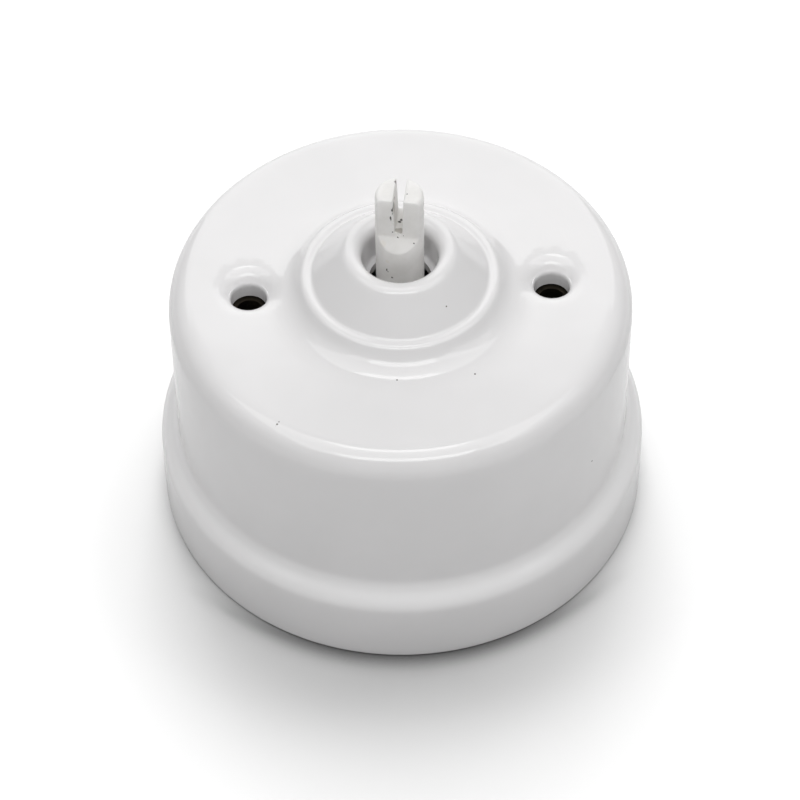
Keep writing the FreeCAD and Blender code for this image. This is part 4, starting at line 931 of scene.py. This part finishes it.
lightSet = {  # name: azimuth from the camera's side, elevation, width, height, radiance
    "overhead": (0, 84, 1.10, 0.80, 1.60),
    "topKey": (180, 77, 0.24, 0.16, 2.8),
    "frontMid": (0, 63, 0.60, 0.20, 3.1),
    "frontLow": (0, 10, 1.10, 0.24, 0.42),
    "rightMid": (75, 52, 0.50, 0.34, 1.0),
    "leftMid": (-75, 52, 0.50, 0.34, 0.5),
    "backWall": (180, 26, 0.92, 0.80, 1.4),
}
floorLights = {  # these light the floor alone, and the switch shades it
    "floorBack": (180, 63, 0.24, 0.34, 11.7),
    "floorBackLow": (180, 46, 0.32, 0.20, 7.8),
    "floorRight": (140, 61, 0.44, 0.30, 8.1),
    "floorLeft": (220, 61, 0.44, 0.30, 5.5),
}
lightAway = 0.85  # metres
backdropStrength = 0.15


def softLight(name, azimuth, elevation, width, height, radiance):
    turn = math.radians(azimuth)
    lift = math.radians(elevation)
    away = Vector((math.sin(turn) * math.cos(lift), -math.cos(turn) * math.cos(lift), math.sin(lift)))
    data = bpy.data.lights.new(name, "AREA")
    data.shape = "RECTANGLE"
    data.size = width
    data.size_y = height
    data.energy = radiance * math.pi * width * height
    light = bpy.data.objects.new(name, data)
    facing = away.to_track_quat("Z", "Y").to_matrix().to_4x4()
    light.matrix_world = Matrix.Translation(away * lightAway) @ facing
    scene.collection.objects.link(light)
    return light


floorLook = {
    "half": 2500.0, "level": -0.03, "paper": (0.52, 0.52, 0.52), "roughness": 0.7, "gloss": 0.1,
    "bounce": (0.41, 0.41, 0.41),  # what the paper gives to the switch
    # the painted contact shadow: its colour, its reach, how open the sky must be, and where it fades towards
    # the back
    "contact": (0.14, 0.14, 0.14), "contactReach": 4.0, "contactOpen": (0.42, 0.98),
    "contactFront": (-33.0, -18.0),
}


def makeFloor(f):
    corners = [(x * f["half"], y * f["half"], f["level"]) for x, y in ((-1, -1), (1, -1), (1, 1), (-1, 1))]
    mesh = meshFrom("studioFloor", corners, [(0, 1, 2, 3)])
    floor = addPiece("studioFloor", mesh)
    material, tree, shader = startMaterial("floorPaper", f["paper"], f["roughness"])
    seen = tree.nodes.new("ShaderNodeLightPath").outputs["Is Camera Ray"]
    # painted shadow: the paper is painted dark where the front of the foot stands on it
    sky = treeNode(tree, "ShaderNodeAmbientOcclusion", {"samples": 8}, Distance=f["contactReach"] * mm)
    forward = treeNode(tree, "ShaderNodeSeparateXYZ", Vector=objectPlace(tree)).outputs["Y"]
    fade = between(tree, forward, *[value * mm for value in f["contactFront"]])
    clear = mathNode(tree, "MAXIMUM", between(tree, sky.outputs["AO"], *f["contactOpen"]), fade)
    lit = tint(tree, clear, f["contact"], f["paper"])
    tree.links.new(tint(tree, seen, f["bounce"], lit), shader.inputs["Base Color"])
    shader.inputs["Specular IOR Level"].default_value = f["gloss"]
    mesh.materials.append(material)
    return floor


def makeLights(floor):
    world = bpy.data.worlds.new("studio")
    world.use_nodes = True
    scene.world = world
    backdrop = world.node_tree.nodes["Background"]
    backdrop.inputs["Color"].default_value = (1, 1, 1, 1)
    backdrop.inputs["Strength"].default_value = backdropStrength
    for name, values in lightSet.items():
        softLight(name, *values)
    floorAlone = bpy.data.collections.new("floorAlone")
    floorAlone.objects.link(floor)
    for name, values in floorLights.items():
        softLight(name, *values).light_linking.receiver_collection = floorAlone


makeCamera(cameraSet)
makeLights(makeFloor(floorLook))
scene.view_settings.view_transform = "Standard"
print("stage made")
